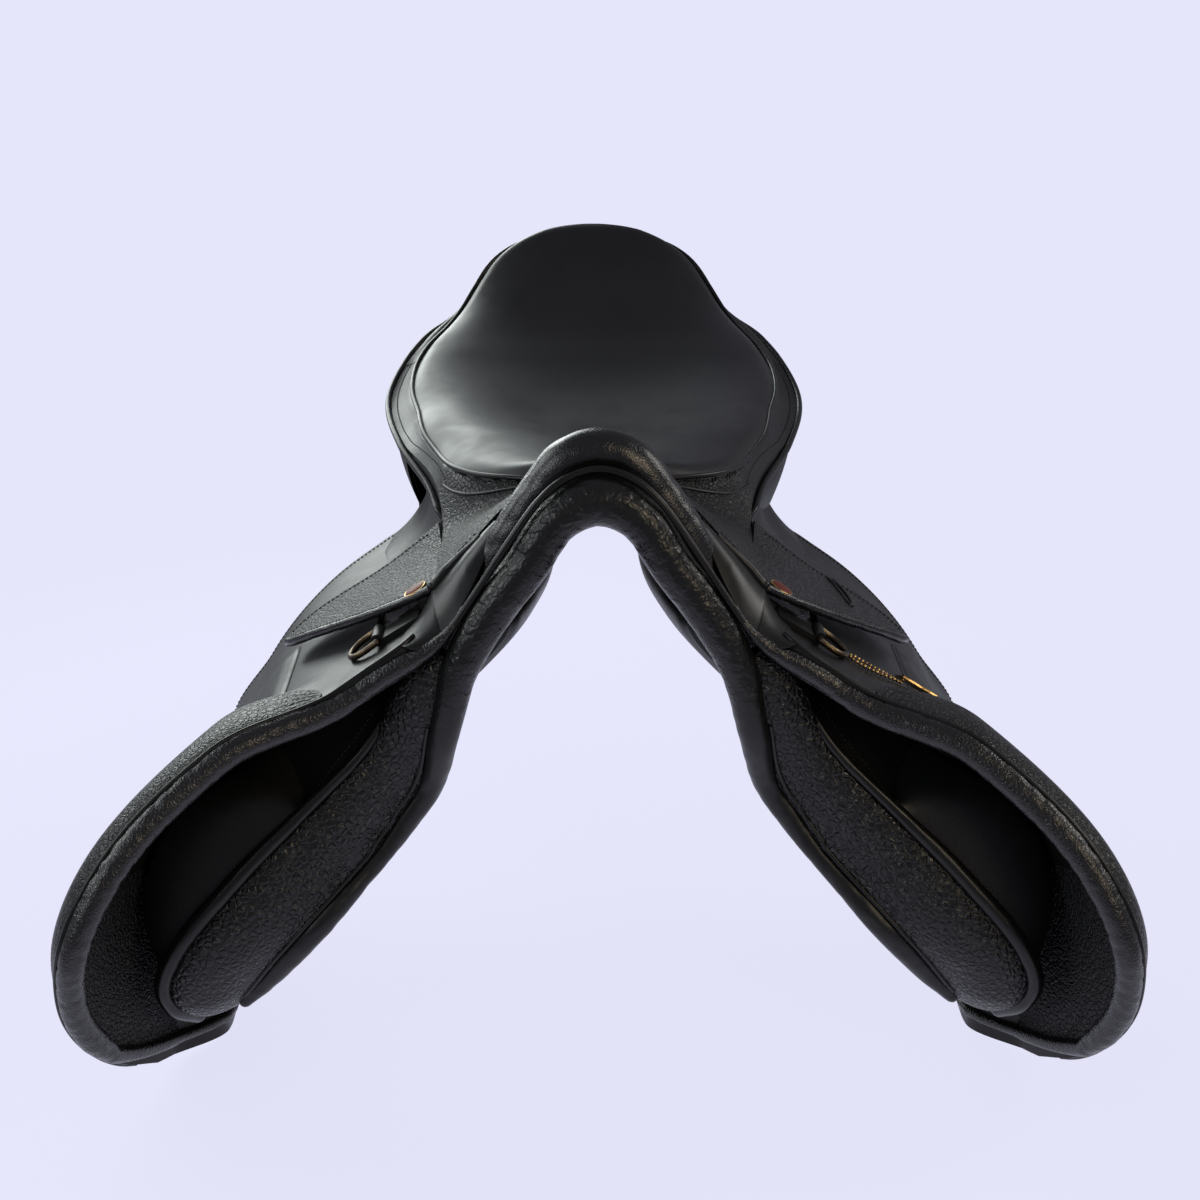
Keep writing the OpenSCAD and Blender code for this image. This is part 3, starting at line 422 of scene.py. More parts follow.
def smooth_line(rows, count):
    """A smooth curve through rows of values, with count points from each row to the next."""
    p = np.asarray(rows, float)
    t = (np.arange(count) / count)[:, None]
    line = []
    for i in range(len(p) - 1):
        a, b, c, d = p[max(i - 1, 0)], p[i], p[i + 1], p[min(i + 2, len(p) - 1)]
        line.append(0.5 * (2 * b + (c - a) * t + (2 * a - 5 * b + 4 * c - d) * t ** 2
                           + (3 * b - a - 3 * c + d) * t ** 3))
    return np.vstack(line + [p[-1:]])


def run_length(line):
    return np.concatenate([[0], np.cumsum(np.linalg.norm(np.diff(line, axis=0), axis=1))])


def resampled(line, count, place=None):
    """Even points along a line by its point numbers, or by the places given for its points."""
    place = np.linspace(0, 1, len(line)) if place is None else place / place[-1]
    return np.stack([np.interp(np.linspace(0, 1, count), place, line[:, k]) for k in range(3)], -1)


def between(first, second, count):
    """Grid of points ruled from one line to another."""
    return mix(first[None], second[None], np.linspace(0, 1, count)[:, None, None])


def bow(count):
    """Shares that rise and fall over the rows of such a grid."""
    return np.sin(np.linspace(0, 1, count) * math.pi)[:, None, None]


def arch(rows):
    """Rows that start on the centre plane, with their mirror image before them."""
    rows = np.asarray(rows, float)
    other = rows[:0:-1].copy()
    other[:, 0] *= -1
    return np.vstack([other, rows])


# The drape that flaps, skirts and under flaps share: place along the saddle, length down it, height over it

HINGE_HALF, HINGE_HEIGHT = 104.0, 8.0
FRONT_DRAPE = np.array([57.0, 170, 165, -15])
REAR_DRAPE = np.array([58.0, 90, 205, -5])
DRAPE_TURN = (-320, -175)
SKIRT_LEATHER, FLAP_LEATHER, SWEAT_LEATHER, STRAP_LEATHER = 4.0, 5.0, 4.0, 3.5
FLAP_LEG, SWEAT_OUTER = -14.0, -30.0
FIT = 0.3
KNEE_DEPTH, THIGH_DEPTH, BLOCK_GAP = 26, 16, 4
FLAP_KNEE = SWEAT_OUTER + FIT + KNEE_DEPTH + BLOCK_GAP + FLAP_LEATHER
FLAP_THIGH = SWEAT_OUTER + FIT + THIGH_DEPTH + BLOCK_GAP + FLAP_LEATHER
STITCH_LIFT = 0.3
# Where the flap bows over the knee and thigh blocks, and where the under flap's front bends in
KNEE_ALONG, KNEE_DOWN = (-188, -228), (75, 150)
THIGH_ALONG, THIGH_DOWN = (-96, -72), (185, 240)
UNDER_ALONG = (-190, -236)

# Length down the drape, with the front and rear edge there
FLAP_OUTLINE = [(14, -222, -40), (23, -234, -16), (34, -239, 4), (54, -243, 33), (76, -248, 31),
                (99, -255, 24), (140, -275, 10), (188, -300, 0), (240, -325, -10), (285, -334, -14),
                (320, -324, -24), (350, -311, -38), (378, -292, -62), (394, -272, -92), (402, -246, -126)]
SKIRT_OUTLINE = [(0, -205, -106), (20, -198, -99), (50, -181, -95), (80, -160, -95), (104, -142, -99),
                 (118, -129, -105), (124, -120, -111)]
SWEAT_OUTLINE = [(40, -212, -62), (90, -227, -59), (160, -243, -55), (230, -258, -52), (300, -268, -54),
                 (340, -266, -66), (365, -254, -90), (375, -232, -115)]
UNDER_DIP = [(40, 12), (70, 28), (110, 35), (165, 38), (215, 35), (255, 29), (290, 19), (320, 8), (345, -2),
             (375, -8)]
SKIRT_RISE = [(-205, 0), (-150, 1.0), (-120, 5.5), (-100, 9.5)]


def drape(y, s, n):
    y, s, n = np.broadcast_arrays(np.asarray(y, float), np.asarray(s, float), np.asarray(n, float))
    share = ease(*DRAPE_TURN, y)[..., None]
    lean, straight, bend, tuck = np.moveaxis(FRONT_DRAPE * (1 - share) + REAR_DRAPE * share, -1, 0)
    lean, tuck = np.radians(lean), np.radians(tuck)
    arc = bend * (lean - tuck)
    a = lean - np.clip((s - straight) / arc, 0, 1) * (lean - tuck)
    top, tail = np.minimum(s, straight), np.maximum(s - straight - arc, 0)
    x = (HINGE_HALF + top * np.sin(lean) + bend * (np.cos(a) - np.cos(lean))
         + tail * np.sin(a) + n * np.cos(a))
    z = (HINGE_HEIGHT - top * np.cos(lean) + bend * (np.sin(a) - np.sin(lean))
         - tail * np.cos(a) + n * np.sin(a))
    return points(x, y, z)


def flap_face(y, s):
    return (FLAP_LEG + (FLAP_KNEE - FLAP_LEG) * ease(*KNEE_ALONG, y) * ease(*KNEE_DOWN, s)
            + (FLAP_THIGH - FLAP_LEG) * ease(*THIGH_ALONG, y) * ease(*THIGH_DOWN, s))


def under_face(y, s):
    return SWEAT_OUTER - station(UNDER_DIP, s)[..., 1] * ease(*UNDER_ALONG, y)


def skirt_face(y, s):
    """Outer face of the skirt, which rises to the edge of the waist at its top."""
    rise = np.maximum(station(SKIRT_RISE, y)[..., 1], 0)
    return rise * np.clip(1 - np.asarray(s, float) / 60, 0, 1.1) ** 2


def level(height):
    """A face at one height over the drape."""
    return lambda y, s: height + 0 * y


def lifted(face, lift):
    return lambda y, s: face(y, s) + lift


def front_of(outline, s):
    return station(outline, s)[..., 1]


def rear_of(outline, s):
    return station(outline, s)[..., 2]


def on_drape(face, y, s, lift=0.0):
    return drape(y, s, face(y, s) + lift)


def on_leather(face, y, s, lift=STITCH_LIFT):
    """Points on a draped leather and the directions out of it."""
    y, s = np.broadcast_arrays(np.asarray(y, float), np.asarray(s, float))
    down = on_drape(face, y, s + 1) - on_drape(face, y, s - 1)
    back = on_drape(face, y + 1, s) - on_drape(face, y - 1, s)
    out = unit(np.cross(down, back))
    return on_drape(face, y, s) + lift * out, out


# The seat's form along the saddle

POMMEL_REACH, CANTLE_REACH = 215.0, 215.0
SEAT_HEIGHT, POMMEL_HEIGHT, CANTLE_HEIGHT = 48.0, 110.0, 160.0
SEAT_HALF, WAIST_HALF = 149.0, 102.5
CUSHION_DEPTH, CUSHION_FRONT, CUSHION_NOSE = 16.0, 142.0, 75
CUSHION_REAR = CANTLE_REACH - 3
TABLES_MEET = 20
CANTLE_DROP, CANTLE_BEND = 24, (150, 225)
# The leather's hollow up to the seam: how far below it, how wide, and where it ends
HOLLOW_DROP, HOLLOW_WIDTH, HOLLOW_END = 3.5, 17, (165, 120)

# Place, half width and height of the rim, and height of the cushion's seam in front of where the tables meet
RIM_TABLE = [(-201, WAIST_HALF, 9.5, 50), (-150, WAIST_HALF, 10.5, 60), (-105, WAIST_HALF - 0.5, 19, 55),
             (-60, SEAT_HALF - 37, 30, 53), (0, SEAT_HALF - 14, 42, 60), (75, SEAT_HALF, 55, 71),
             (130, SEAT_HALF - 11, 74, 88), (175, SEAT_HALF - 37, 97, 114), (200, SEAT_HALF - 55, 119, 135),
             (210, SEAT_HALF - 78, 140, 146), (215, SEAT_HALF - 107, 153, 154)]
# Place and half width of the cushion, and behind where the tables meet its seam's height too
FRONT_TABLE = [(-142, SEAT_HALF - 59), (-110, SEAT_HALF - 56), (-80, SEAT_HALF - 50), (-50, SEAT_HALF - 40.5),
               (-20, SEAT_HALF - 30.5), (0, SEAT_HALF - 26.5), (20, SEAT_HALF - 23.7)]
BACK_TABLE = [(20, SEAT_HALF - 23.7, 62.5), (60, SEAT_HALF - 16.5, 68.5), (100, SEAT_HALF - 16.5, 76),
              (130, SEAT_HALF - 24, 85), (160, SEAT_HALF - 38, 94), (175, SEAT_HALF - 47, 103),
              (190, SEAT_HALF - 57.5, 118), (200, SEAT_HALF - 67.5, 132), (206, SEAT_HALF - 78.5, 141.5),
              (210, SEAT_HALF - 94, 149), (212, SEAT_HALF - 112, 152)]


def rim_half(y):
    return station(RIM_TABLE, y)[..., 1]


def rim_height(y):
    return station(RIM_TABLE, y)[..., 2] - CANTLE_DROP * ease(*CANTLE_BEND, y)


def seam_height(y):
    fore, aft = station(RIM_TABLE, y)[..., 3], station(BACK_TABLE, y)[..., 2]
    return np.where(np.asarray(y) < TABLES_MEET, fore, aft)


def seat_line(y):
    """Height of the seat along the centre plane."""
    y = np.asarray(y, float)
    fore = SEAT_HEIGHT + (POMMEL_HEIGHT - SEAT_HEIGHT) * (y / POMMEL_REACH) ** 2
    aft = SEAT_HEIGHT + (CANTLE_HEIGHT - SEAT_HEIGHT) * (np.maximum(y, 0) / CANTLE_REACH) ** 2.3
    return np.where(y < 0, fore, aft)


def base_height(x, y):
    """Height of the leather under the cushion and round it."""
    ridge = seat_line(y) - CUSHION_DEPTH * ease(-POMMEL_REACH + 20, -145, y)
    low = rim_height(y)
    crown = mix(1.25, 2.3, ease(-POMMEL_REACH + 10, -POMMEL_REACH + 75, y))
    return low + (ridge - low) * (1 - np.clip(np.abs(x) / rim_half(y), 0, 1) ** crown)


def cushion_half(y):
    y = np.asarray(y, float)
    nose = np.clip((CUSHION_NOSE - CUSHION_FRONT - y) / CUSHION_NOSE, 0, 1)
    side = np.where(y < TABLES_MEET, station(FRONT_TABLE, y)[..., 1], station(BACK_TABLE, y)[..., 1])
    return side * np.sqrt(1 - nose ** 2.4)


def cushion_height(u, y):
    return mix(seat_line(y), seam_height(y), np.abs(u) ** 2.6)


def cushion_rows(count):
    """Places along the cushion, closer together at its round front and back."""
    return mix(-CUSHION_FRONT, CUSHION_REAR, cosine(count))


def cushion_edge(count=260):
    """The cushion's seam, from the middle of its front round by the right to the middle of its back."""
    y = cushion_rows(count)
    side = points(cushion_half(y), y, seam_height(y))
    u = np.linspace(1, 0, 30)[1:]
    back = points(u * cushion_half(CUSHION_REAR), CUSHION_REAR, cushion_height(u, CUSHION_REAR))
    return np.vstack([side, back])


def ring_line(half):
    """A half line from front to back made into a ring round both sides."""
    return np.vstack([half, (half[::-1] * MIRROR)[1:-1]])


SEAM_RING = ring_line(cushion_edge())


def from_seam(x, y):
    """Distance to the cushion's seam in plan, and the seam's height at its nearest point."""
    step = np.roll(SEAM_RING, -1, 0) - SEAM_RING
    over_x, over_y = (np.ravel(v)[:, None] - SEAM_RING[:, k] for k, v in enumerate((x, y)))
    length = np.maximum(step[:, 0] ** 2 + step[:, 1] ** 2, 1e-9)
    share = np.clip((over_x * step[:, 0] + over_y * step[:, 1]) / length, 0, 1)
    away = np.hypot(over_x - share * step[:, 0], over_y - share * step[:, 1])
    near = np.argmin(away, axis=1)
    found = np.arange(len(near)), near
    height = SEAM_RING[near, 2] + share[found] * step[near, 2]
    return away[found].reshape(np.shape(x)), height.reshape(np.shape(x))


def base_skin(x, y):
    """Height of the leather round the cushion, hollowed up to the cushion's seam."""
    away, seam = from_seam(x, y)
    low = base_height(x, y)
    rise = np.maximum(seam - HOLLOW_DROP - low, 0)
    return low + rise * np.clip(1 - away / HOLLOW_WIDTH, 0, 1) ** 2 * ease(*HOLLOW_END, y)


# Meshes

DOME_STEPS = (0.15, 0.45, 0.75, 0.93)
BEVEL_ANGLE, BEVEL_SEGMENTS = 50, 3


def cells(rows, cols, wrap=False, keep=None):
    i, j = np.meshgrid(np.arange(rows - 1), np.arange(cols if wrap else cols - 1), indexing="ij")
    if keep is not None:
        i, j = i[keep], j[keep]
    i, j = i.ravel(), j.ravel()
    k = (j + 1) % cols
    return np.stack([i * cols + j, (i + 1) * cols + j, (i + 1) * cols + k, i * cols + k], -1).tolist()


def capped(rows, cols):
    """Faces of a closed stack of rings."""
    ends = [list(range(cols)), list(range((rows - 1) * cols, rows * cols))]
    return cells(rows, cols, wrap=True) + ends


def turns(count):
    return np.linspace(0, 2 * math.pi, count, endpoint=False)


def solid(name, places, faces, finish):
    mesh = bpy.data.meshes.new(name)
    mesh.from_pydata((np.asarray(places, float).reshape(-1, 3) * MM).tolist(), [], faces)
    mesh.materials.append(finish)
    return linked(name, mesh)


def settled(obj):
    """Turn what the modifiers make into the object's own mesh."""
    depsgraph = bpy.context.evaluated_depsgraph_get()
    mesh = bpy.data.meshes.new_from_object(obj.evaluated_get(depsgraph))
    obj.modifiers.clear()
    obj.data = mesh
    return obj


def tidied(obj, closed=True):
    work = bmesh.new()
    work.from_mesh(obj.data)
    bmesh.ops.remove_doubles(work, verts=work.verts, dist=2e-6)
    if closed:
        bmesh.ops.recalc_face_normals(work, faces=work.faces)
    work.to_mesh(obj.data)
    work.free()
    obj.data.shade_smooth()
    return obj


def rounded(obj, width):
    bevel = obj.modifiers.new("bevel", "BEVEL")
    bevel.width = width * MM
    bevel.segments = BEVEL_SEGMENTS
    bevel.limit_method = "ANGLE"
    bevel.angle_limit = math.radians(BEVEL_ANGLE)
    return tidied(settled(obj))


def spread(outline, lengths, count):
    """Places along the saddle and drape lengths of a grid inside an outline."""
    front, rear = front_of(outline, lengths)[:, None], rear_of(outline, lengths)[:, None]
    y = mix(front, rear, np.linspace(0, 1, count)[None, :])
    return y, np.repeat(lengths[:, None], count, 1)


def leaf(name, grid, face, thick, finish, keep=None, edge=1.4):
    """One draped leather of even thickness over a grid."""
    y, s = grid
    obj = solid(name, on_drape(face, y, s), cells(*y.shape, keep=keep), finish)
    tidied(obj, closed=False)
    wall = obj.modifiers.new("thickness", "SOLIDIFY")
    wall.thickness = thick * MM
    wall.offset = -1
    tidied(settled(obj))
    return rounded(obj, edge)


def skin(name, top, bottom, finish, edge=None):
    """Closed piece between two grids of points, with its edges rounded where a width is given."""
    rows, cols = top.shape[:2]
    shift = rows * cols
    upper = cells(rows, cols)
    faces = upper + [[k + shift for k in f[::-1]] for f in upper]
    loop = (list(range(cols)) + [i * cols + cols - 1 for i in range(1, rows)]
            + [(rows - 1) * cols + j for j in range(cols - 2, -1, -1)]
            + [i * cols for i in range(rows - 2, 0, -1)])
    for a, b in zip(loop, loop[1:] + loop[:1]):
        faces.append([a, b, b + shift, a + shift])
    obj = tidied(solid(name, np.concatenate([top.reshape(-1, 3), bottom.reshape(-1, 3)]), faces, finish))
    return obj if edge is None else rounded(obj, edge)


def pad(name, lengths, front, rear, seat, depth, hem, finish, cols, power=2.6, ripple=None):
    """Padded piece that swells from a face of the drape between two edges."""
    s = np.repeat(lengths[:, None], cols, 1)
    u = np.repeat(cosine(cols)[None, :], len(lengths), 0)
    y = mix(front(s), rear(s), u)
    a = 2 * (s - lengths[0]) / (lengths[-1] - lengths[0]) - 1
    swell = (1 - np.abs(a) ** power) * (1 - np.abs(2 * u - 1) ** power)
    low = seat(y, s)
    high = low + hem + (depth(y, s) - hem) * swell
    if ripple is not None:
        high = high + ripple(s, u) * np.sqrt(np.clip(swell, 0, 1))
    return skin(name, drape(y, s, high), drape(y, s, low), finish, edge=0.7)


def tube(name, path, radii, up, finish, sides, wrinkle):
    """Round roll along a line of points, closed by domes at its ends."""
    path = np.asarray(path, float)
    along = unit(np.gradient(path, axis=0))
    side = unit(np.cross(up, along))
    over = np.cross(along, side)
    radii = np.broadcast_to(np.asarray(radii, float), len(path))
    length = run_length(path)
    turn = turns(sides)

    def dome(end, way):
        angles = [step * math.pi / 2 for step in DOME_STEPS]
        return [(path[end] + way * along[end] * radii[end] * math.sin(a), radii[end] * math.cos(a), end)
                for a in angles]

    body = [(path[i], radii[i], i) for i in range(len(path))]
    rings = []
    for centre, radius, i in dome(0, -1)[::-1] + body + dome(len(path) - 1, 1):
        r = radius + wrinkle(length[i], turn)
        spoke = np.cos(turn)[:, None] * side[i] + np.sin(turn)[:, None] * over[i]
        rings.append(centre + r[:, None] * spoke)
    return tidied(solid(name, np.array(rings), capped(len(rings), sides), finish))


def crease(fine, deep, seed):
    """Folds that run round a roll, close together where the leather is pushed up."""
    def wrinkle(length, turn):
        rows = np.array([noise.noise(Vector((length / fine, math.cos(a) * 1.3 + seed, math.sin(a) * 1.3)))
                         for a in turn])
        return deep * (rows - np.abs(rows) * 0.6)
    return wrinkle


# Stitches and piping, made by node trees along lines

class LineTree(Tree):
    def __init__(self, name, sizes):
        super().__init__(bpy.data.node_groups.new(name, "GeometryNodeTree"))
        self.socket("Line", "NodeSocketGeometry")
        for label in sizes:
            self.socket(label, "NodeSocketFloat")
        self.socket("Finish", "NodeSocketMaterial")
        self.socket("Result", "NodeSocketGeometry", "OUTPUT")

    def socket(self, label, kind, way="INPUT"):
        self.tree.interface.new_socket(label, in_out=way, socket_type=kind)

    def given(self, label):
        return self.node("NodeGroupInput", out=label)

    def curve(self):
        return self.node("GeometryNodeMeshToCurve", None, {0: self.given("Line")})

    def closed(self, geometry):
        real = self.node("GeometryNodeRealizeInstances", None, {0: geometry})
        soft = self.node("GeometryNodeSetShadeSmooth", None, {0: real})
        done = self.node("GeometryNodeSetMaterial", None, {0: soft, "Material": self.given("Finish")})
        self.node("NodeGroupOutput", None, {0: done})
        return self.tree


def stitch_tree():
    t = LineTree("stitch_row", ["Pitch", "Length", "Width", "Height"])
    spaced = t.node("GeometryNodeResampleCurve", {"mode": "LENGTH"},
                    {"Curve": t.curve(), "Length": t.given("Pitch")})
    out = t.node("GeometryNodeInputNamedAttribute", {"data_type": "FLOAT_VECTOR"}, {"Name": "outward"})
    along = t.node("GeometryNodeInputTangent")
    turn = t.node("FunctionNodeAxesToRotation", {"primary_axis": "X", "secondary_axis": "Z"},
                  {0: along, 1: out})
    bead = t.node("GeometryNodeMeshUVSphere", None, {"Segments": 6, "Rings": 4, "Radius": 0.5})
    size = t.node("ShaderNodeCombineXYZ", None,
                  {0: t.given("Length"), 1: t.given("Width"), 2: t.given("Height")})
    return t.closed(t.node("GeometryNodeInstanceOnPoints", None,
                           {"Points": spaced, "Instance": bead, "Rotation": turn, "Scale": size}))


def piping_tree():
    t = LineTree("piping", ["Radius"])
    ring = t.node("GeometryNodeCurvePrimitiveCircle", None, {"Resolution": 12, "Radius": t.given("Radius")})
    return t.closed(t.node("GeometryNodeCurveToMesh", None,
                           {"Curve": t.curve(), "Profile Curve": ring, "Fill Caps": True}))


STITCHES = stitch_tree()
PIPING = piping_tree()
STITCH_WIDTH, STITCH_HEIGHT = 0.9, 0.8


def along_lines(name, lines, tree, finish, **sizes):
    """Run a node tree along lines of points, each with the directions out of the leather under it."""
    places, edges, out = [], [], []
    for line, normal in lines:
        start = len(places)
        closed = np.linalg.norm(line[0] - line[-1]) < 1e-6
        line, normal = (line[:-1], normal[:-1]) if closed else (line, normal)
        places.extend((np.asarray(line) * MM).tolist())
        out.extend(np.asarray(normal).ravel().tolist())
        edges.extend((start + i, start + i + 1) for i in range(len(line) - 1))
        if closed:
            edges.append((start + len(line) - 1, start))
    mesh = bpy.data.meshes.new(name)
    mesh.from_pydata(places, edges, [])
    mesh.attributes.new("outward", "FLOAT_VECTOR", "POINT").data.foreach_set("vector", out)
    mesh.materials.append(finish)
    obj = linked(name, mesh)
    made = obj.modifiers.new("line", "NODES")
    made.node_group = tree
    for item in tree.interface.items_tree:
        if item.in_out == "INPUT" and item.socket_type == "NodeSocketFloat":
            made[item.identifier] = float(sizes[item.name]) * MM
        elif item.in_out == "INPUT" and item.socket_type == "NodeSocketMaterial":
            made[item.identifier] = finish
    return settled(obj)


def stitched(name, lines, pitch=3.4, length=2.5):
    return along_lines(name, lines, STITCHES, THREAD, Pitch=pitch, Length=length, Width=STITCH_WIDTH,
                       Height=STITCH_HEIGHT)


def piped(name, line, radius):
    return tidied(along_lines(name, [(line, np.zeros_like(line))], PIPING, TRIM, Radius=radius))


# Fitting pieces to the frame

def carry(obj, body, nodes=()):
    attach(obj, body)
    if nodes:
        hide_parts(*nodes)


def mirrored(obj):
    """Mirror image of a right piece, for the left side."""
    mesh = obj.data.copy()
    place = np.empty(len(mesh.vertices) * 3, np.float32)
    mesh.vertices.foreach_get("co", place)
    place[0::3] *= -1
    mesh.vertices.foreach_set("co", place)
    mesh.flip_normals()
    mesh.update()
    return linked(obj.name.replace("right", "left"), mesh)


def pair(obj, body, nodes=(), right_only=None):
    """Carry a right piece and its mirror image on the left."""
    twin = mirrored(obj)
    if right_only is not None:
        right_only(obj)
    for piece, side in ((obj, "right"), (twin, "left")):
        carry(piece, body.format(side), [n.format(side) for n in nodes])


def bridge(obj, start, end):
    """Right piece and its mirror image that run from the saddle over to the flaps."""
    twin = mirrored(obj)
    for piece, side, way in ((obj, "right", 1), (twin, "left", -1)):
        "flap_" + side
        way * start[0] * MM
        way * end[0] * MM
        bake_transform(piece)


def punched(obj, rods):
    """Cut a bmesh of closed bodies out of a piece."""
    mesh = bpy.data.meshes.new("punch")
    rods.to_mesh(mesh)
    rods.free()
    punch = linked("punch", mesh)
    cut = obj.modifiers.new("holes", "BOOLEAN")
    cut.operation = "DIFFERENCE"
    cut.object = punch
    settled(obj)
    bpy.data.objects.remove(punch)
    return tidied(obj)


# Seat

CROWN, SIDE_FILL, BACK_FILL = 12, 12, 11
FILL_FRONT, FILL_BACK = (-125, -30), (200, 100)
SEAM_PULL_SIDE, SEAM_PULL_BACK, SEAM_PULL_WIDTH = 3.4, 6.5, 12
SEAM_DROP, SEAM_PIPE, FRONT_FOLD_PIPE = 2.6, 1.7, 1.1
BAND_START = 118
WELT_RADIUS, WELT_DROP = 2.3, 0.8


def make_cushion():
    u, y = np.meshgrid(across(91), cushion_rows(160))
    x = u * cushion_half(y)
    away, _ = from_seam(x, y)
    fill = CROWN * (1 - np.abs(u) ** 2.6) + SIDE_FILL * u ** 2 * (1 - u ** 4)
    back = (BACK_FILL - 9 * np.abs(u) ** 3) * ease(120, CUSHION_REAR - 5, y)
    z = cushion_height(u, y) + fill * ease(*FILL_FRONT, y) * ease(*FILL_BACK, y) + back
    pull = mix(SEAM_PULL_SIDE, SEAM_PULL_BACK, ease(60, 190, y))
    z = z - pull * np.clip(1 - away / SEAM_PULL_WIDTH, 0, 1) ** 2.2
    bottom = points(x, y, np.minimum(base_height(x, y) + 0.6, z - 1.5))
    return skin("seat_cushion", points(x, y, z), bottom, SEAT)


def make_base():
    v = runs((0, 0.9, 120), (0.9, 1, 40))[:, None]
    u = across(101)[None, :]
    front = mix(-POMMEL_REACH + 22.3, -POMMEL_REACH + 15, ease(0.55, 0.8, np.abs(u)))
    y = mix(front, CANTLE_REACH, v)
    x = u * rim_half(y)
    top, bottom = points(x, y, base_skin(x, y)), points(x, y, base_height(x, y) - 3)
    return skin("seat_base_leather", top, bottom, WAIST, edge=0.9)


def front_fold():
    """Line of the fold outside the cushion's seam, where it lies inside the rim."""
    outward = unit(points(np.gradient(SEAM_RING[:, 1]), -np.gradient(SEAM_RING[:, 0]), 0))
    x, y, _ = (SEAM_RING + 5.2 * outward).T
    inside = (np.abs(x) < rim_half(y) - 3) & (y < CANTLE_REACH - 25)
    line = points(x, y, base_skin(x, y) + 0.2)
    first = int(np.argmax(~inside))
    last = len(line) - int(np.argmax(~inside[::-1]))
    return np.vstack([line[last:], line[:first]])


def side_rim(y, out=0.0, drop=0.0):
    return points(rim_half(y) + out, y, rim_height(y) - drop)


def back_rim(count, out=0.0, drop=0.0):
    """Points along the rim's back, from its right end to the centre plane."""
    x = np.linspace(1, 0, count)[1:] * rim_half(CANTLE_REACH)
    return points(x, CANTLE_REACH + out, base_height(x, CANTLE_REACH) - drop)


def make_cantle_band():
    """Leather over the back of the seat, from the cushion's seam out to the rim."""
    seam = cushion_edge(400)
    seam = seam[seam[:, 1] > BAND_START] - (0, 0, 3.0)
    rim = np.vstack([side_rim(runs((BAND_START, 200, 60), (200, CANTLE_REACH, 30))), back_rim(20)])
    inner, outer = (arch(resampled(line, 110, run_length(line))[::-1]) for line in (seam, rim))
    ruled = between(inner, outer, 14)
    over = ruled + bow(14) * np.array((0, 0.6, 2.6))
    flat = base_skin(ruled[..., 0], ruled[..., 1]) + 0.4
    over[..., 2] = mix(flat, over[..., 2], ease(BAND_START, 150, ruled[..., 1]))
    return skin("cantle_band_leather", over, over - np.array((0, 0, 2.0)), SEAT, edge=0.5)


def make_welt():
    """Welt round the rim, tucked in at its front ends."""
    tail = np.linspace(-101, -87, 12)
    tucked = side_rim(tail, mix(-3.5, WELT_RADIUS, ease(-102, -88, tail)),
                      mix(5.0, WELT_DROP, ease(-102, -89, tail)))
    side = np.concatenate([np.linspace(-86, 150, 90), np.linspace(152, CANTLE_REACH - 0.2, 60)])
    half = np.vstack([tucked, side_rim(side, WELT_RADIUS, WELT_DROP), back_rim(24, WELT_RADIUS, WELT_DROP)])
    return piped("seat_rim_welt", arch(half[::-1]), WELT_RADIUS)


def make_rim_stitches():
    y = np.linspace(-84, 140, 90)
    x = rim_half(y) - 4.2
    edge = points(x, y, base_skin(x, y) + STITCH_LIFT)
    up = np.tile((0.0, 0, 1), (len(edge), 1))
    return stitched("seat_rim_stitches", [(edge, up), (edge * MIRROR, up)])


carry(make_cushion(), "saddle", ["seat_cover", "seat_foam"])
carry(make_base(), "saddle", ["seat_base"])
seam_loop = np.vstack([SEAM_RING, SEAM_RING[:1]]) - (0, 0, SEAM_DROP)
carry(piped("seat_seam_piping", seam_loop, SEAM_PIPE), "saddle")
carry(piped("seat_front_fold", front_fold(), FRONT_FOLD_PIPE), "saddle")
carry(make_cantle_band(), "saddle")
carry(make_welt(), "saddle", ["seat_welt"])
carry(make_rim_stitches(), "saddle")

# Wall round the back, from the rim down to the panels

# Place along the saddle, then the panel's centre across and up, half width, half height and tilt
PANEL_TABLE = [(-207, 80, -37, 34, 9, 48), (-198, 79, -37, 40, 13, 47), (-170, 76, -36, 46, 16, 44),
               (-110, 72, -35, 50, 18, 39), (-50, 74, -25, 52, 20, 33), (30, 78, -16, 53, 19, 26),
               (110, 82, 2, 54, 20, 20), (170, 84, 25, 52, 19, 15), (200, 84, 38, 48, 14, 13),
               (212, 84, 43, 42, 8, 13)]
WALL_THICK = 3
CHANNEL_HALF = 46


def panel_top(x, y):
    _, middle, height, _, half, tilt = np.moveaxis(station(PANEL_TABLE, y), -1, 0)
    tilt = np.radians(tilt)
    return height + half / np.cos(tilt) - (np.abs(x) - middle) * np.tan(tilt)


def wall_line():
    half = rim_half(CANTLE_REACH) - 3
    back = [(k * half, CANTLE_REACH - 3) for k in np.linspace(0, 1, 14)]
    side = np.concatenate([np.linspace(CANTLE_REACH - 2, 177, 22), np.linspace(173, -92, 66)])
    return np.array(back + [(float(rim_half(y)) - 1.5, y - 1.5) for y in side])


def wall_point(line, v, depth):
    """Points of the wall at shares of its height, and the directions out of it."""
    x, y = line[:, 0][:, None], line[:, 1][:, None]
    foot_x = 0.87 * x
    foot_y = y - 9 * ease(140, CANTLE_REACH, y)
    top = base_height(x, y) - 2.6
    foot = panel_top(np.maximum(foot_x, CHANNEL_HALF), foot_y) + 0.6
    v = v[None, :]
    p = points(mix(x, foot_x, v * v), mix(y, foot_y, v * v), mix(top, foot, v))
    out = unit(points(p[..., 0], np.maximum(p[..., 1] - 60, 0), 0))
    return p - depth * out, out


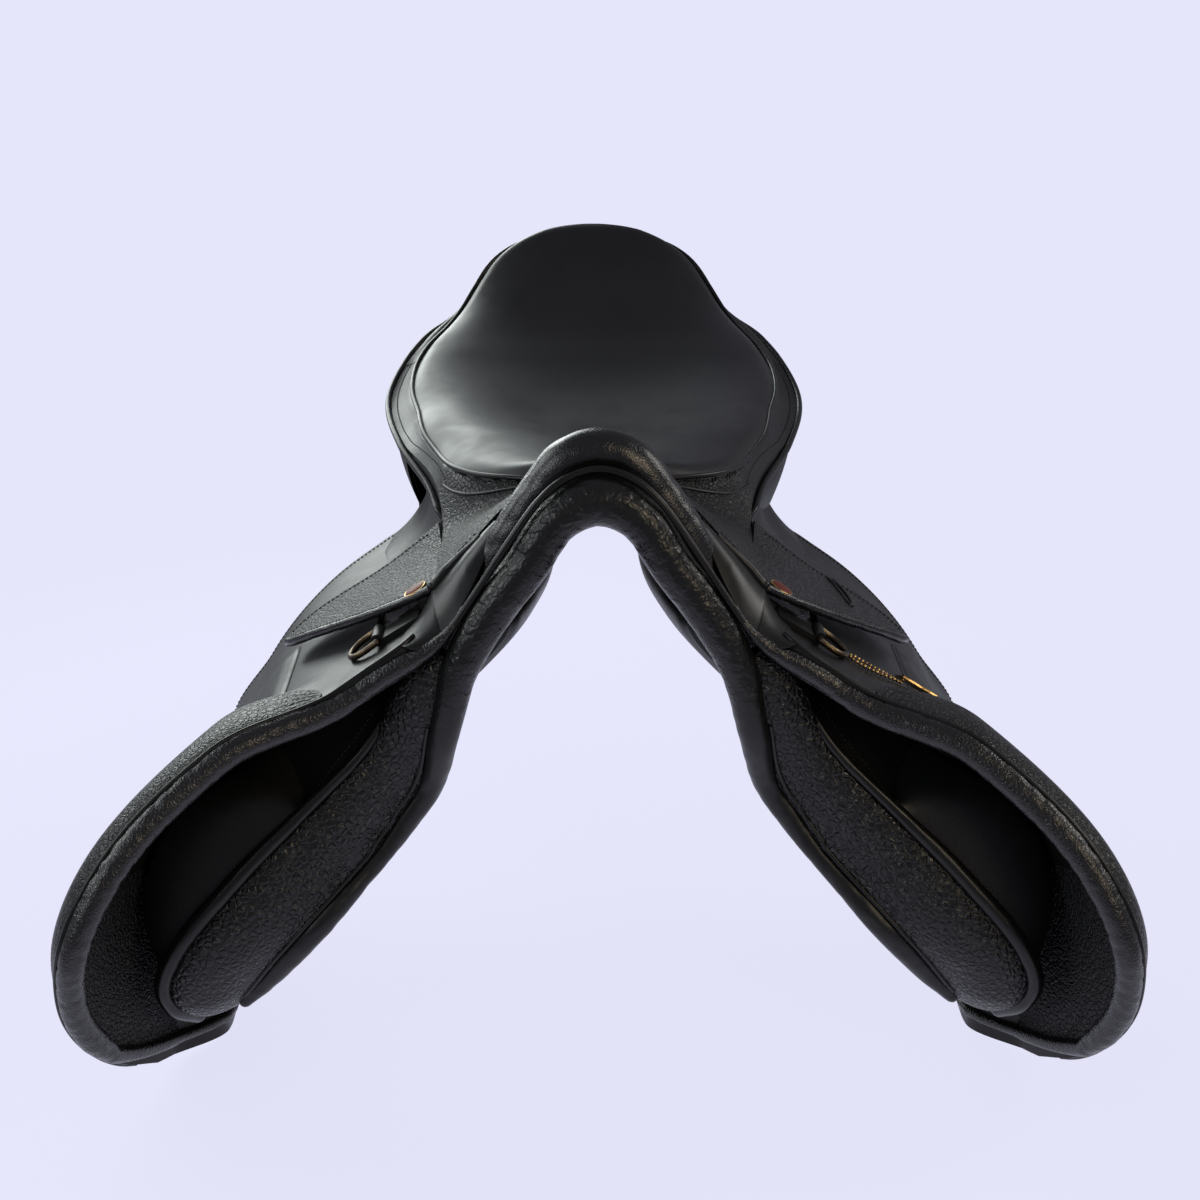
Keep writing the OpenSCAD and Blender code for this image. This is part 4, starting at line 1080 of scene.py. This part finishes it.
def make_wall():
    """Wall round both sides; the left half's front end lies folded back behind the saddle's middle."""
    line = wall_line()
    share = np.linspace(0, 1, 22)
    grids = []
    for depth in (0, WALL_THICK):
        right, _ = wall_point(line, share, depth)
        left, _ = wall_point(np.abs(line[:0:-1]), share, depth)
        grids.append(np.concatenate([left * MIRROR, right]))
    return skin("rear_wall_leather", grids[0], grids[1], PANEL, edge=0.8)


def make_wall_stitches():
    rows = []
    for share in (0.12, 0.88):
        line, out = wall_point(wall_line(), np.array([share]), -0.2)
        rows += [(line[:, 0] * flip, out[:, 0] * flip) for flip in ((1, 1, 1), MIRROR)]
    return stitched("rear_wall_stitches", rows)


carry(make_wall(), "saddle", ["rear_facing"])
carry(make_wall_stitches(), "saddle")

# Pommel: points across, along and up from the top of the pommel, with the radius of the rolls

POMMEL_LINE = [(0, 8, -14, 14), (20, 8, -21, 14), (36, 8, -40, 13), (53, 8, -65, 12), (66, 8, -88, 10.5),
               (76, 8, -104, 9), (87, 6, -116, 7)]
FACING_LINE = [(0, -10, -39.6, 16), (25, -13.4, -51, 14), (44, -15, -79.5, 13.5), (66, -16, -110, 13),
               (86, -16, -146, 12), (97, -11, -190, 10.5)]
PIPING_LINE = [(0, -11.5, -20), (20, -14.5, -25), (37, -17.5, -39), (56, -18.5, -66), (75, -18.5, -96),
               (97, -19.5, -129)]
# The facing's leg in places of the drape, with its radius
FACING_LEG = [(-209, 72, -108, 9.5), (-211, 100, -121, 9), (-218, 140, -127, 7.5), (-227, 188, -128, 7),
              (-235, 225, -126, 7.5), (-241, 262, -121.5, 8.5), (-244, 300, -113, 9), (-243, 335, -98, 9),
              (-240, 355, -78, 7.5), (-238, 368, -60, 5)]
ALONG = (0, 1, 0)
LINING_FRONT = -189.0


def from_pommel(rows):
    rows = np.array(rows, float)
    rows[:, 1] -= POMMEL_REACH
    rows[:, 2] += POMMEL_HEIGHT
    return rows


def pommel_tube(name, rows, count, finish, wrinkle):
    line = smooth_line(arch(rows), count)
    return tube(name, line[:, :3], line[:, 3], ALONG, finish, sides=40, wrinkle=wrinkle)


def make_pommel_lining():
    """Leather behind the rolls of the pommel, from under the waist to the facing."""
    x = np.linspace(0, 1, 60) * 97
    lines = [points(x, LINING_FRONT, base_height(x, LINING_FRONT) - 1.6)]
    for rows in (POMMEL_LINE, FACING_LINE[:5]):
        lines.append(resampled(smooth_line(from_pommel(rows), 12)[:, :3], 60))
    waist, roll, facing = (arch(line) for line in lines)
    top = np.concatenate([between(waist, roll, 10), between(roll, facing, 10)[1:]])
    return skin("pommel_lining", top, top + np.array((0, 1.2, -0.8)), FACING)


carry(pommel_tube("pommel_roll_leather", from_pommel(POMMEL_LINE), 16, FINE, crease(9, 0.5, seed=3)),
      "saddle", ["pommel_roll"])
facing_leg = np.array([[*drape(y, s, n), radius] for y, s, n, radius in FACING_LEG])
carry(pommel_tube("gullet_facing_leather", np.vstack([from_pommel(FACING_LINE), facing_leg]), 14, FACING,
                  crease(8, 0.35, seed=9)), "saddle", ["front_facing"])
carry(piped("pommel_piping_leather", smooth_line(arch(from_pommel(PIPING_LINE)), 16), 2.4), "saddle",
      ["pommel_piping"])
carry(make_pommel_lining(), "saddle", ())

# Front edge of the waist, and the leather that closes the corner between pommel and flap

WAIST_END = 103.2
FOLD_FOOT = [(62, -203, 50), (69, -214, 33), (77, -224, 16), (86, -232, 1), (94, -238, -15)]
CORNER_ROLL = [(82, -233.2, 4), (90, -234.5, -8), (101, -237, -18.5)]
FLAP_TOP = [(103, -104, 14), (104.5, -88, 20), (108, -66, 25), (112, -46, 26), (116, -30, 20), (121, -12, 6),
            (128, 6, -9), (135, 20, -21), (142, 32, -31)]
# Places of the drape
GUSSET_OUTER = [(-241, 19, -20), (-240, 26, -14), (-231, 29, -13.1), (-220, 28, -13.1), (-209, 24, -13.1),
                (-202, 18, -13)]
CORNER_END = [(-237.5, 27, -24), (-240, 44, -22.6), (-242.5, 62, -22.4)]


def waist_front(start, count):
    x = np.linspace(start, WAIST_END, count)
    y = -199.5 - 3.5 * ease(92, 104, x)
    return points(x, y, base_height(x, y) - 1.5)


def make_waist_roll():
    line = waist_front(74, 40)
    radius = mix(1.2, 3.4, ease(74, 96, line[:, 0]))
    return tube("waist_front_roll_right", line, radius, ALONG, TRIM, sides=20,
                wrinkle=crease(7, 0.3, seed=31))


def make_waist_stitches():
    x, y = np.linspace(77, 101, 30), -192.5
    line = points(x, y, base_height(x, y) + 0.4)
    return stitched("waist_front_stitches_right", [(line, np.tile(unit((0.7, 0, 0.7)), (len(x), 1)))])


def fold_grid():
    """Points of the leather turned over the front of the waist, from its stitched edge down to the piping."""
    foot = smooth_line(FOLD_FOOT, 10)
    rise = bow(24) * np.clip(np.linspace(0, 2, len(foot)), 0, 1)[None, :, None]
    return between(waist_front(64, len(foot)), foot, 24) + rise * np.array((2.2, -1.2, 2.8))


def make_fold():
    top = fold_grid()
    return skin("pommel_fold_right", top, top - np.array((1.4, -0.8, 1.6)), TRIM, edge=0.6)


def make_gusset():
    """Leather from the end of the fold over to the flap's top corner."""
    outer = smooth_line([drape(*row) for row in GUSSET_OUTER], 10)
    inner = resampled(fold_grid()[::-1, -1], len(outer))
    top = between(inner, outer, 16) - bow(16) * np.array((0.6, 0, 1.2))
    return skin("pommel_gusset_right", top, top - np.array((1.0, -0.6, 1.8)), FLAP, edge=0.5)


def make_corner_roll():
    line = smooth_line(CORNER_ROLL + [list(drape(*row)) for row in CORNER_END], 12)
    radius = mix(2.4, 6.8, ease(0.1, 0.75, np.linspace(0, 1, len(line))))
    return tube("pommel_corner_roll_right", line, radius, ALONG, ROLL, sides=24,
                wrinkle=crease(6, 0.4, seed=17))


def make_flap_top():
    """Leather from the edge of the waist and the rim down to the flap, behind the skirt."""
    upper = smooth_line(FLAP_TOP, 8)
    y = upper[:, 1]
    behind = np.interp(y, (-104, 32), (-75, 32))
    lower = drape(behind, np.interp(behind, (-104, -60, 0, 32), (40, 54, 64, 58)), FLAP_LEG + 0.5)
    near = mix(drape(behind, 18, FLAP_LEG + 2), (upper + lower) / 2, ease(-45, 22, y)[:, None])
    v = np.linspace(0, 1, 30)[:, None, None]
    top = upper[None] * (1 - v) ** 2 + near[None] * 2 * v * (1 - v) + lower[None] * v ** 2
    return skin("flap_top_leather_right", top, top - np.array((1.2, 0, 2.2)), FLAP, edge=0.7)


pair(make_waist_roll(), "saddle")
pair(make_waist_stitches(), "saddle")
pair(make_fold(), "saddle")
bridge(make_gusset(), (98, -218, -1), (111, -218, -14))
bridge(make_corner_roll(), (98, -236, -14), (113, -237.5, -26))
bridge(make_flap_top(), (112, -40, 8), (134, -40, -26))

# Flaps

NOTCH_REACH = 54
NOTCH_FRONT, NOTCH_REAR = -190, -91
FLAP_COLUMNS = (26, 36, 30)
FLAP_SEAM = 132
STRIP_TOP = 86
# Places along the saddle and drape lengths round the bottom of the flap
HEM_END = [(-268, 388), (-245, 391), (-215, 391), (-185, 388), (-155, 383)]
OUT_AND_UP = (0.8, 0, 0.6)


def strip_front(s):
    return front_of(FLAP_OUTLINE, s) + 5


def strip_rear(s):
    start = np.sqrt(np.clip((np.asarray(s, float) - STRIP_TOP + 0.5) / 20, 0, 1))
    return strip_front(s) + mix(30, 46, ease(96, 160, s)) * mix(0.06, 1, start)


def strip_depth(y, s):
    return mix(3.5, 8.5, ease(96, 240, s))


def pleats(s, u):
    return 0.9 * np.sin(u * 30 + 0.5 * np.sin(s / 6)) * (1 - ease(92, 122, s))


def seamed_flap(y, s):
    """Face of the flap, with the seam across its smooth middle between the padded strip and the skirt."""
    window = ease(-90, -100, y) * ease(strip_rear(s) - 1, strip_rear(s) + 8, y)
    groove = -1.1 * np.exp(-((s - FLAP_SEAM) / 1.5) ** 2)
    below = 1.5 * ease(FLAP_SEAM, FLAP_SEAM + 12, s) * ease(230, 170, s)
    return flap_face(y, s) + (groove + below) * window


def make_flap():
    """The flap's leather, with a notch in its top under the skirt."""
    lengths = down_to_hem([(14, NOTCH_REACH, 14), (NOTCH_REACH, FLAP_SEAM - 6, 26),
                           (FLAP_SEAM - 6, FLAP_SEAM + 6, 15), (FLAP_SEAM + 6, 340, 70)], 402, 26)
    front, rear = front_of(FLAP_OUTLINE, lengths)[:, None], rear_of(FLAP_OUTLINE, lengths)[:, None]
    low = ease(NOTCH_REACH, 170, lengths)[:, None]
    fore = mix(NOTCH_FRONT, mix(front, rear, 0.25), low)
    aft = mix(NOTCH_REAR, mix(front, rear, 0.62), low)
    first, second, third = (np.linspace(0, 1, count)[None, :] for count in FLAP_COLUMNS)
    y = np.concatenate([mix(front, fore, first), mix(fore, aft, second[:, 1:]), mix(aft, rear, third[:, 1:])],
                       axis=1)
    s = np.repeat(lengths[:, None], y.shape[1], 1)
    column = np.arange(y.shape[1] - 1)[None, :]
    middle = 0.5 * (lengths[1:] + lengths[:-1])[:, None]
    before, behind = FLAP_COLUMNS[0] - 1, FLAP_COLUMNS[0] + FLAP_COLUMNS[1] - 2
    keep = (middle > NOTCH_REACH) | (column < before) | (column >= behind)
    return leaf("flap_leather_right", (y, s), seamed_flap, FLAP_LEATHER, FLAP, keep)


def hem_line():
    """Places and drape lengths along the flap's front edge and round under its hem."""
    s = np.linspace(12, 382, 100)
    y = front_of(FLAP_OUTLINE, s) + mix(5, 2.2, ease(30, 80, s))
    return smooth_line(np.vstack([np.stack([y, s], -1), HEM_END]), 3).T


def make_inner_roll():
    y, s = hem_line()
    thin = ease(0.9, 1, np.linspace(0, 1, len(s)))
    radius = mix(mix(6.2, 8.6, ease(30, 110, s)), 3.4, thin)
    line = on_drape(flap_face, y, s, -mix(FLAP_LEATHER + 6.6, 8.4, ease(30, 80, s)))
    return tube("flap_inner_roll_right", line, radius, OUT_AND_UP, ROLL, sides=26,
                wrinkle=crease(6, 0.5, seed=5))


def make_inner_cord():
    y, s = hem_line()[:, 20:-30]
    return piped("flap_inner_cord_right", on_drape(flap_face, y + 9.5, s, -FLAP_LEATHER - 1.4), 1.3)


def make_lining():
    s = np.linspace(262, 388, 40)[:, None]
    y = mix(front_of(FLAP_OUTLINE, s) + 9, -168, np.linspace(0, 1, 40)[None, :])
    face = lifted(flap_face, -FLAP_LEATHER - 0.1)
    return leaf("flap_lining_right", (y, np.repeat(s, 40, 1)), face, 0.9, PEBBLE, edge=0.3)


def make_edge_piping():
    s = np.linspace(20, 398, 160)
    front = front_of(FLAP_OUTLINE, s)
    return piped("flap_edge_piping_right", drape(front + 1.2, s, flap_face(front, s) + 0.4), 1.5)


def make_flap_stitches():
    front_s = np.linspace(20, 398, 160)[28:150]
    strip_s = np.linspace(150, 386, 110)
    rear_s = np.linspace(60, 392, 120)
    return stitched("flap_stitches_right", [
        on_leather(flap_face, front_of(FLAP_OUTLINE, front_s) + 3.4, front_s),
        on_leather(flap_face, strip_rear(strip_s) + 3, strip_s),
        on_leather(flap_face, rear_of(FLAP_OUTLINE, rear_s) - 6, rear_s),
        on_leather(flap_face, np.linspace(-244, -132, 40), 396.0),
        on_leather(seamed_flap, np.linspace(-100, -206, 60), FLAP_SEAM - 4.5)])


pair(make_flap(), "flap_{}", ["flap_{}"])
pair(pad("knee_roll_pad_right", runs((STRIP_TOP, 140, 44), (140, 384, 110)), strip_front, strip_rear,
         lifted(flap_face, FIT), strip_depth, 0.7, STRIP, cols=36, power=2.8, ripple=pleats),
     "flap_{}", ["knee_roll_{}"])
pair(make_inner_roll(), "flap_{}", ["flap_binding_{}"])
pair(make_inner_cord(), "flap_{}")
pair(make_lining(), "flap_{}", ())
pair(make_edge_piping(), "flap_{}")
pair(make_flap_stitches(), "flap_{}")

# Skirts

SLOT_LINE = smooth_line([(-99, 62), (-108, 68), (-121, 72.5), (-133, 74.5)], 8)
SLOT_HALF, LIP_HALF, LIP_PIPE = 2.2, 3.3, 1.2
NAIL_PLACE = (-193.0, 12.0)
# Radius and height of the nail's metal rim, and the size of its enamel head
NAIL_RIM = [(0, 0), (8.2, 0), (8.2, 0.9), (8.0, 1.3), (7.6, 1.45), (7.2, 1.3), (7.05, 1.12)]
NAIL_HALF, NAIL_DOME, NAIL_SIDES = 7.0, 1.7, 40


def slot_ring(half):
    """Ring of places round the slot at the rear of the right skirt, pointed at its ends."""
    side = unit(np.gradient(SLOT_LINE, axis=0))[:, ::-1] * (-1, 1)
    width = half * np.sin(np.linspace(0.06, 0.94, len(SLOT_LINE)) * math.pi)[:, None] ** 0.6
    return np.vstack([SLOT_LINE + side * width, (SLOT_LINE - side * width)[::-1]])


def cut_skirt_slot(obj):
    ring = slot_ring(SLOT_HALF)
    rods = bmesh.new()
    ends = [[rods.verts.new(drape(y, s, n) * MM) for y, s in ring] for n in (4, -9)]
    for i in range(len(ring)):
        k = (i + 1) % len(ring)
        rods.faces.new([ends[0][i], ends[0][k], ends[1][k], ends[1][i]])
    rods.faces.new(ends[0][::-1])
    rods.faces.new(ends[1])
    bmesh.ops.recalc_face_normals(rods, faces=rods.faces)
    punched(obj, rods)


def make_slot_lip():
    ring = slot_ring(LIP_HALF)
    ring = np.vstack([ring, ring[:1]])
    return piped("skirt_slot_lip_right", drape(ring[:, 0], ring[:, 1], 0.1), LIP_PIPE)


def make_skirt():
    grid = spread(SKIRT_OUTLINE, slowing(-5, 124, 64), 60)
    return leaf("skirt_leather_right", grid, skirt_face, SKIRT_LEATHER, PEBBLE)


def make_skirt_roll():
    s = runs((2, 110, 50), (110, 123.5, 14))
    line = drape(front_of(SKIRT_OUTLINE, s) + 1.5, s, -1.6)
    return tube("skirt_front_roll_right", line, 3.1, (0.5, 0, 0.8), FINE, sides=20,
                wrinkle=crease(6, 0.3, seed=11))


def make_skirt_stitches():
    s = np.linspace(6, 119, 60)
    return stitched("skirt_stitches_right", [on_leather(skirt_face, front_of(SKIRT_OUTLINE, s) + 7, s),
                                             on_leather(skirt_face, rear_of(SKIRT_OUTLINE, s) - 4.5, s)])


def make_nail():
    angles = np.linspace(0.12, math.pi / 2, 8)
    head = [(NAIL_HALF * math.cos(a), 1.0 + NAIL_DOME * math.sin(a)) for a in angles]
    centre, out = on_leather(skirt_face, *NAIL_PLACE, 0.1)
    side = unit(np.cross(out, ALONG))
    over = np.cross(out, side)
    rings = [[centre + h * out + r * (math.cos(a) * side + math.sin(a) * over) for a in turns(NAIL_SIDES)]
             for r, h in NAIL_RIM + head]
    obj = solid("nail_head_right", np.array(rings), cells(len(rings), NAIL_SIDES, wrap=True), BRASS)
    obj.data.materials.append(ENAMEL)
    for face in obj.data.polygons:
        face.material_index = 1 if face.index >= (len(NAIL_RIM) - 1) * NAIL_SIDES else 0
    return tidied(obj)


carry(make_slot_lip(), "skirt_right")
pair(make_skirt(), "skirt_{}", ["skirt_{}"], right_only=cut_skirt_slot)
pair(make_skirt_roll(), "skirt_{}", ())
pair(make_skirt_stitches(), "skirt_{}")
pair(make_nail(), "skirt_{}", ["nail_{}"])

# Under flap, blocks and the padded front of the panel

# Length down the drape and share of the pad's full swell
PAD_SHARES = [(54, 0.52), (72, 0.62), (100, 0.86), (140, 0.97), (190, 1), (260, 1), (310, 1), (335, 0.9),
              (355, 0.6), (368, 0.32), (374, 0.15)]
PAD_SWELL = 46
SWELL_COLUMNS = 34
GUARD_TOP, GUARD_END = 58, 348
BLOCK_HEM = 2


def under_front(s, behind=0.0):
    return front_of(SWEAT_OUTLINE, s) + behind


def make_under_flap():
    grid = spread(SWEAT_OUTLINE, down_to_hem([(40, 330, 90)], 375, 24), 60)
    return leaf("under_flap_leather_right", grid, under_face, SWEAT_LEATHER, FLAP)


def make_under_edge():
    s = down_to_hem([(44, 330, 80)], 374, 22)
    line = on_drape(under_face, under_front(s), s, -2)
    return tube("under_flap_edge_right", line, mix(3.4, 5.8, ease(60, 260, s)), OUT_AND_UP, TRIM, sides=18,
                wrinkle=crease(8, 0.25, seed=21))


def make_knee_block():
    return pad("knee_block_pad_right", np.linspace(150, 350, 80), lambda s: under_front(s, 4),
               lambda s: under_front(s, 50), lifted(under_face, FIT),
               lambda y, s: KNEE_DEPTH + SWEAT_OUTER - under_face(y, s), BLOCK_HEM, FLAP, cols=40)


def make_thigh_block():
    return pad("thigh_block_pad_right", np.linspace(240, 345, 44), lambda s: -72 + 0 * s,
               lambda s: -49 - 14 * ease(315, 345, s), level(SWEAT_OUTER + FIT), level(THIGH_DEPTH),
               BLOCK_HEM, FLAP, cols=24)


def make_front_pad():
    s, u = np.broadcast_arrays(np.linspace(54, 374, 120)[:, None], (np.linspace(0, 1, 50) ** 1.5)[None, :])
    y = mix(under_front(s, 3), -140, u)
    swell = (PAD_SWELL * station(PAD_SHARES, s)[..., 1] * np.clip(u / 0.12 + 0.1, 0, 1) ** 0.5
             * (1 - 0.88 * ease(0.2, 1, u)))
    low = under_face(y, s) - SWEAT_LEATHER - 0.4
    return skin("panel_front_pad_right", drape(y, s, low), drape(y, s, low - 3 - swell), PAD_GRAIN, edge=0.8)


def make_front_swell():
    """Grain leather between the under flap's edge and the facing, and the line of the seam on it."""
    upper = from_pommel(FACING_LINE)
    table = [(18, *upper[4]), (50, *upper[5])] + [(row[1], *leg) for row, leg in zip(FACING_LEG, facing_leg)]
    s = np.linspace(12, 370, 132)
    high = ease(90, 30, s)
    near = mix(under_front(s, 1.5), -229, high)
    edge = drape(near, s, mix(under_face(near, s) - SWEAT_LEATHER - 0.6, -30.0, high))
    leg = station(table, s)
    v = np.linspace(0, 1, SWELL_COLUMNS)[None, :, None]
    flat = mix(edge[:, None], leg[:, None, 1:4], v)
    span = np.linalg.norm(leg[:, 1:4] - edge, axis=1)
    puff = np.sin(v ** 0.8 * math.pi) ** 0.7 * np.clip(span[:, None, None] * 0.22, 0, 13)
    top = flat + puff * np.array((0.1, -0.93, -0.35))
    back = flat + np.array((0, 9.0, 0)) * np.sin(v * math.pi) ** 0.5 + np.array((0, 1.2, 0))
    share = np.clip(1 - (leg[:, 4] + 1.5) / span, 0.3, 1)
    seam = top[np.arange(len(s)), (share * (SWELL_COLUMNS - 1)).astype(int)]
    for _ in range(4):
        seam[1:-1] = 0.25 * seam[:-2] + 0.5 * seam[1:-1] + 0.25 * seam[2:]
    return skin("panel_front_swell_right", top, back, PAD_GRAIN, edge=0.6), seam[14:-4]


def make_guard_roll():
    s = np.linspace(GUARD_TOP, GUARD_END, 80)
    line = drape(-187 - 0.0655 * (s - GUARD_TOP), s, SWEAT_OUTER + 6)
    return tube("girth_guard_roll_right", line, 6.8, OUT_AND_UP, FLAP, sides=18,
                wrinkle=crease(9, 0.3, seed=41))


def make_under_stitches():
    s = np.linspace(70, 372, 100)
    return stitched("under_flap_stitches_right", [on_leather(under_face, under_front(s, 7), s)])


pair(make_under_flap(), "saddle", ["sweat_flap_{}"])
pair(make_under_edge(), "saddle")
pair(make_knee_block(), "saddle", ["knee_block_{}"])
pair(make_thigh_block(), "saddle", ["thigh_block_{}"])
pair(make_front_pad(), "saddle", ["panel_front_pad_{}"])
front_swell, front_seam = make_front_swell()
pair(front_swell, "saddle", ())
pair(piped("panel_front_seam_right", front_seam, 1.5), "saddle")
pair(make_guard_roll(), "saddle")
pair(make_under_stitches(), "saddle")

# Panels

PANEL_ROWS, PANEL_SIDES = 110, 72


def make_panel():
    y = mix(PANEL_TABLE[0][0], PANEL_TABLE[-1][0], cosine(PANEL_ROWS))[:, None]
    _, middle, height, half_width, half_height, tilt = np.moveaxis(station(PANEL_TABLE, y), -1, 0)
    tilt = np.radians(tilt)
    turn = turns(PANEL_SIDES)[None, :]
    a, b = (np.sign(v) * np.abs(v) ** 0.72 for v in (np.cos(turn), np.sin(turn)))
    a, b = a * half_width, b * half_height
    rings = points(middle + a * np.cos(tilt) + b * np.sin(tilt), y,
                   height - a * np.sin(tilt) + b * np.cos(tilt))
    return tidied(solid("panel_cushion_right", rings, capped(PANEL_ROWS, PANEL_SIDES), PANEL))


pair(make_panel(), "saddle", ["panel_{}"])

# Girth straps and webs

STRAP_NAMES = ("front", "middle", "rear")
STRAP_MIDDLE, STRAP_STEP, STRAP_HALF = -135, 30, 13
STRAP_TOP, STRAP_TAPER, STRAP_END = 32, 336, 350
STRAP_LOW, STRAP_GAP = SWEAT_OUTER + 1.5, 1.2
# Place down the strap and radius of the rivet hole and of the buckle holes
STRAP_HOLES = [(44, 3.05)] + [(STRAP_END - 25 * i, 2.5) for i in range(1, 7)]
WEB_LOW = STRAP_LOW + 2 * STRAP_LEATHER + STRAP_GAP + 0.5
WEB_THICK = 2
SEAT_WEB_MIDDLE, SEAT_WEB_HALF = 22, 18


def strap_low(k):
    """Height of a strap's inner face, where the middle one lies under the other two."""
    return STRAP_LOW + (0 if k == 1 else STRAP_LEATHER + STRAP_GAP)


def strap_middle(k):
    return STRAP_MIDDLE + (k - 1) * STRAP_STEP


def make_strap(k, name):
    low = strap_low(k)
    s = runs((STRAP_TOP, STRAP_TAPER, 84), (STRAP_TAPER, STRAP_END, 8))[:, None]
    half = STRAP_HALF * (1 - 0.45 * ease(STRAP_TAPER, STRAP_END, s))
    y = strap_middle(k) + np.linspace(-1, 1, 7)[None, :] * half
    obj = skin(name, drape(y, s, low + STRAP_LEATHER), drape(y, s, low), STRAP, edge=0.8)
    rods = bmesh.new()
    for place, radius in STRAP_HOLES:
        centre, out = on_leather(level(low + STRAP_LEATHER / 2), strap_middle(k), place, 0.0)
        rod = bmesh.ops.create_cone(rods, cap_ends=True, segments=24, radius1=radius * MM,
                                    radius2=radius * MM, depth=10 * MM)
        turn = Vector(out).to_track_quat("Z", "Y").to_matrix().to_4x4()
        turn.translation = Vector(centre * MM)
        bmesh.ops.transform(rods, matrix=turn, verts=rod["verts"])
    return punched(obj, rods)


def make_strap_stitches(k, name):
    s = np.linspace(58, 330, 90)
    top = level(strap_low(k) + STRAP_LEATHER)
    rows = [on_leather(top, strap_middle(k) + side * 10.0, s, 0.1) for side in (-1, 1)]
    return stitched(name, rows, pitch=4.2, length=3.0)


def make_girth_web():
    s, y = np.linspace(-20, 52, 30)[:, None], np.linspace(-176, -94, 40)[None, :]
    top, bottom = drape(y, s, WEB_LOW + WEB_THICK), drape(y, s, WEB_LOW)
    return skin("girth_web_strip_right", top, bottom, WEB, edge=0.5)


def make_seat_web(side, way):
    middle = way * SEAT_WEB_MIDDLE
    x = np.linspace(middle - SEAT_WEB_HALF, middle + SEAT_WEB_HALF, 16)[None, :]
    y = np.linspace(-150, 172, 90)[:, None]
    top, bottom = (points(x, y, base_height(x, y) - drop) for drop in (4.2, 6.0))
    return skin("seat_web_strip_" + side, top, bottom, WEB, edge=0.4)


for k, label in enumerate(STRAP_NAMES):
    start = "girth_strap_" + label
    body = "strap_" + label + "_{}"
    pair(make_strap(k, start + "_leather_right"), body, [start + "_{}"])
    pair(make_strap_stitches(k, start + "_stitches_right"), body)
pair(make_girth_web(), "saddle", ["girth_web_{}"])
carry(make_seat_web("left", -1), "saddle", ["seat_webbing"])
carry(make_seat_web("right", 1), "saddle", ())

# Solids that keep their shape and take a finish, by the start of their names

KEPT = {"tree_frame": WOOD, "gullet_plate": STEEL, "tree_rivets": STEEL, "strap_rivets": STEEL,
        "stirrup_bar": STEEL, "bar_catch": STEEL, "catch_pin": STEEL, "dee_front": DARK, "dee_rear": DARK,
        "dee_tab": FLAP, "tag_chain": BRASS, "swing_tag": BRASS}
for name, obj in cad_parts.items():
    for start, finish in KEPT.items():
        if name.startswith(start):
            for slot in obj.material_slots:
                slot.material = finish

# Floor and background

PALE, ROOM = (0.791, 0.791, 0.965, 1), (0.86, 0.88, 1.0, 1)
PALE_STRENGTH, ROOM_STRENGTH, FLOOR_GLOW = 1.0, 0.1, 1.16
MIRRORED = 0.2
FLOOR_EVEN = 0.8
FLOOR_REACH, FLOOR_DROP = 1500, 0.5


def make_floor():
    """Floor that takes the shadow and fades into the background away from the object."""
    f = Finish("pale_floor")
    place = f.coords()
    f.skin(colour=f.blend(f.cloud(place, 3), grey(0.4, (1, 1, 1.2)), grey(0.42, (1, 1, 1.22))), rough=0.9,
           specular=0.0)
    lit = Value(f, f.shader.outputs[0])
    glow = f.node("ShaderNodeEmission", None, {"Color": PALE, "Strength": FLOOR_GLOW})
    clear = f.node("ShaderNodeBsdfTransparent")
    x, y = f.axis(place, "X"), f.axis(place, "Y")
    far = f.range((x * x + y * y) ** 0.5, 0.55, 1.0)
    even = f.node("ShaderNodeMixShader", None, {0: f.pale_rays(1.0) * FLOOR_EVEN, 1: lit, 2: glow})
    f.show("Material Output", f.node("ShaderNodeMixShader", None, {0: far, 1: even, 2: clear}))
    low = cad_box[0][2] / MM - FLOOR_DROP
    corners = [(x * FLOOR_REACH, y * FLOOR_REACH, low) for x, y in ((-1, -1), (1, -1), (1, 1), (-1, 1))]
    floor = solid("floor", corners, [[0, 1, 2, 3]], f.material)


def make_world():
    """Dim room light on the object, with the pale background for what is seen directly or mirrored."""
    scene.world = bpy.data.worlds.new("room")
    scene.world.use_nodes = True
    room = Tree(scene.world.node_tree)
    dim = room.node("ShaderNodeBackground", None, {"Color": ROOM, "Strength": ROOM_STRENGTH})
    pale = room.node("ShaderNodeBackground", None, {"Color": PALE, "Strength": PALE_STRENGTH})
    both = room.node("ShaderNodeMixShader", None, {0: room.pale_rays(MIRRORED), 1: dim, 2: pale})
    room.show("World Output", both)


make_floor()
make_world()
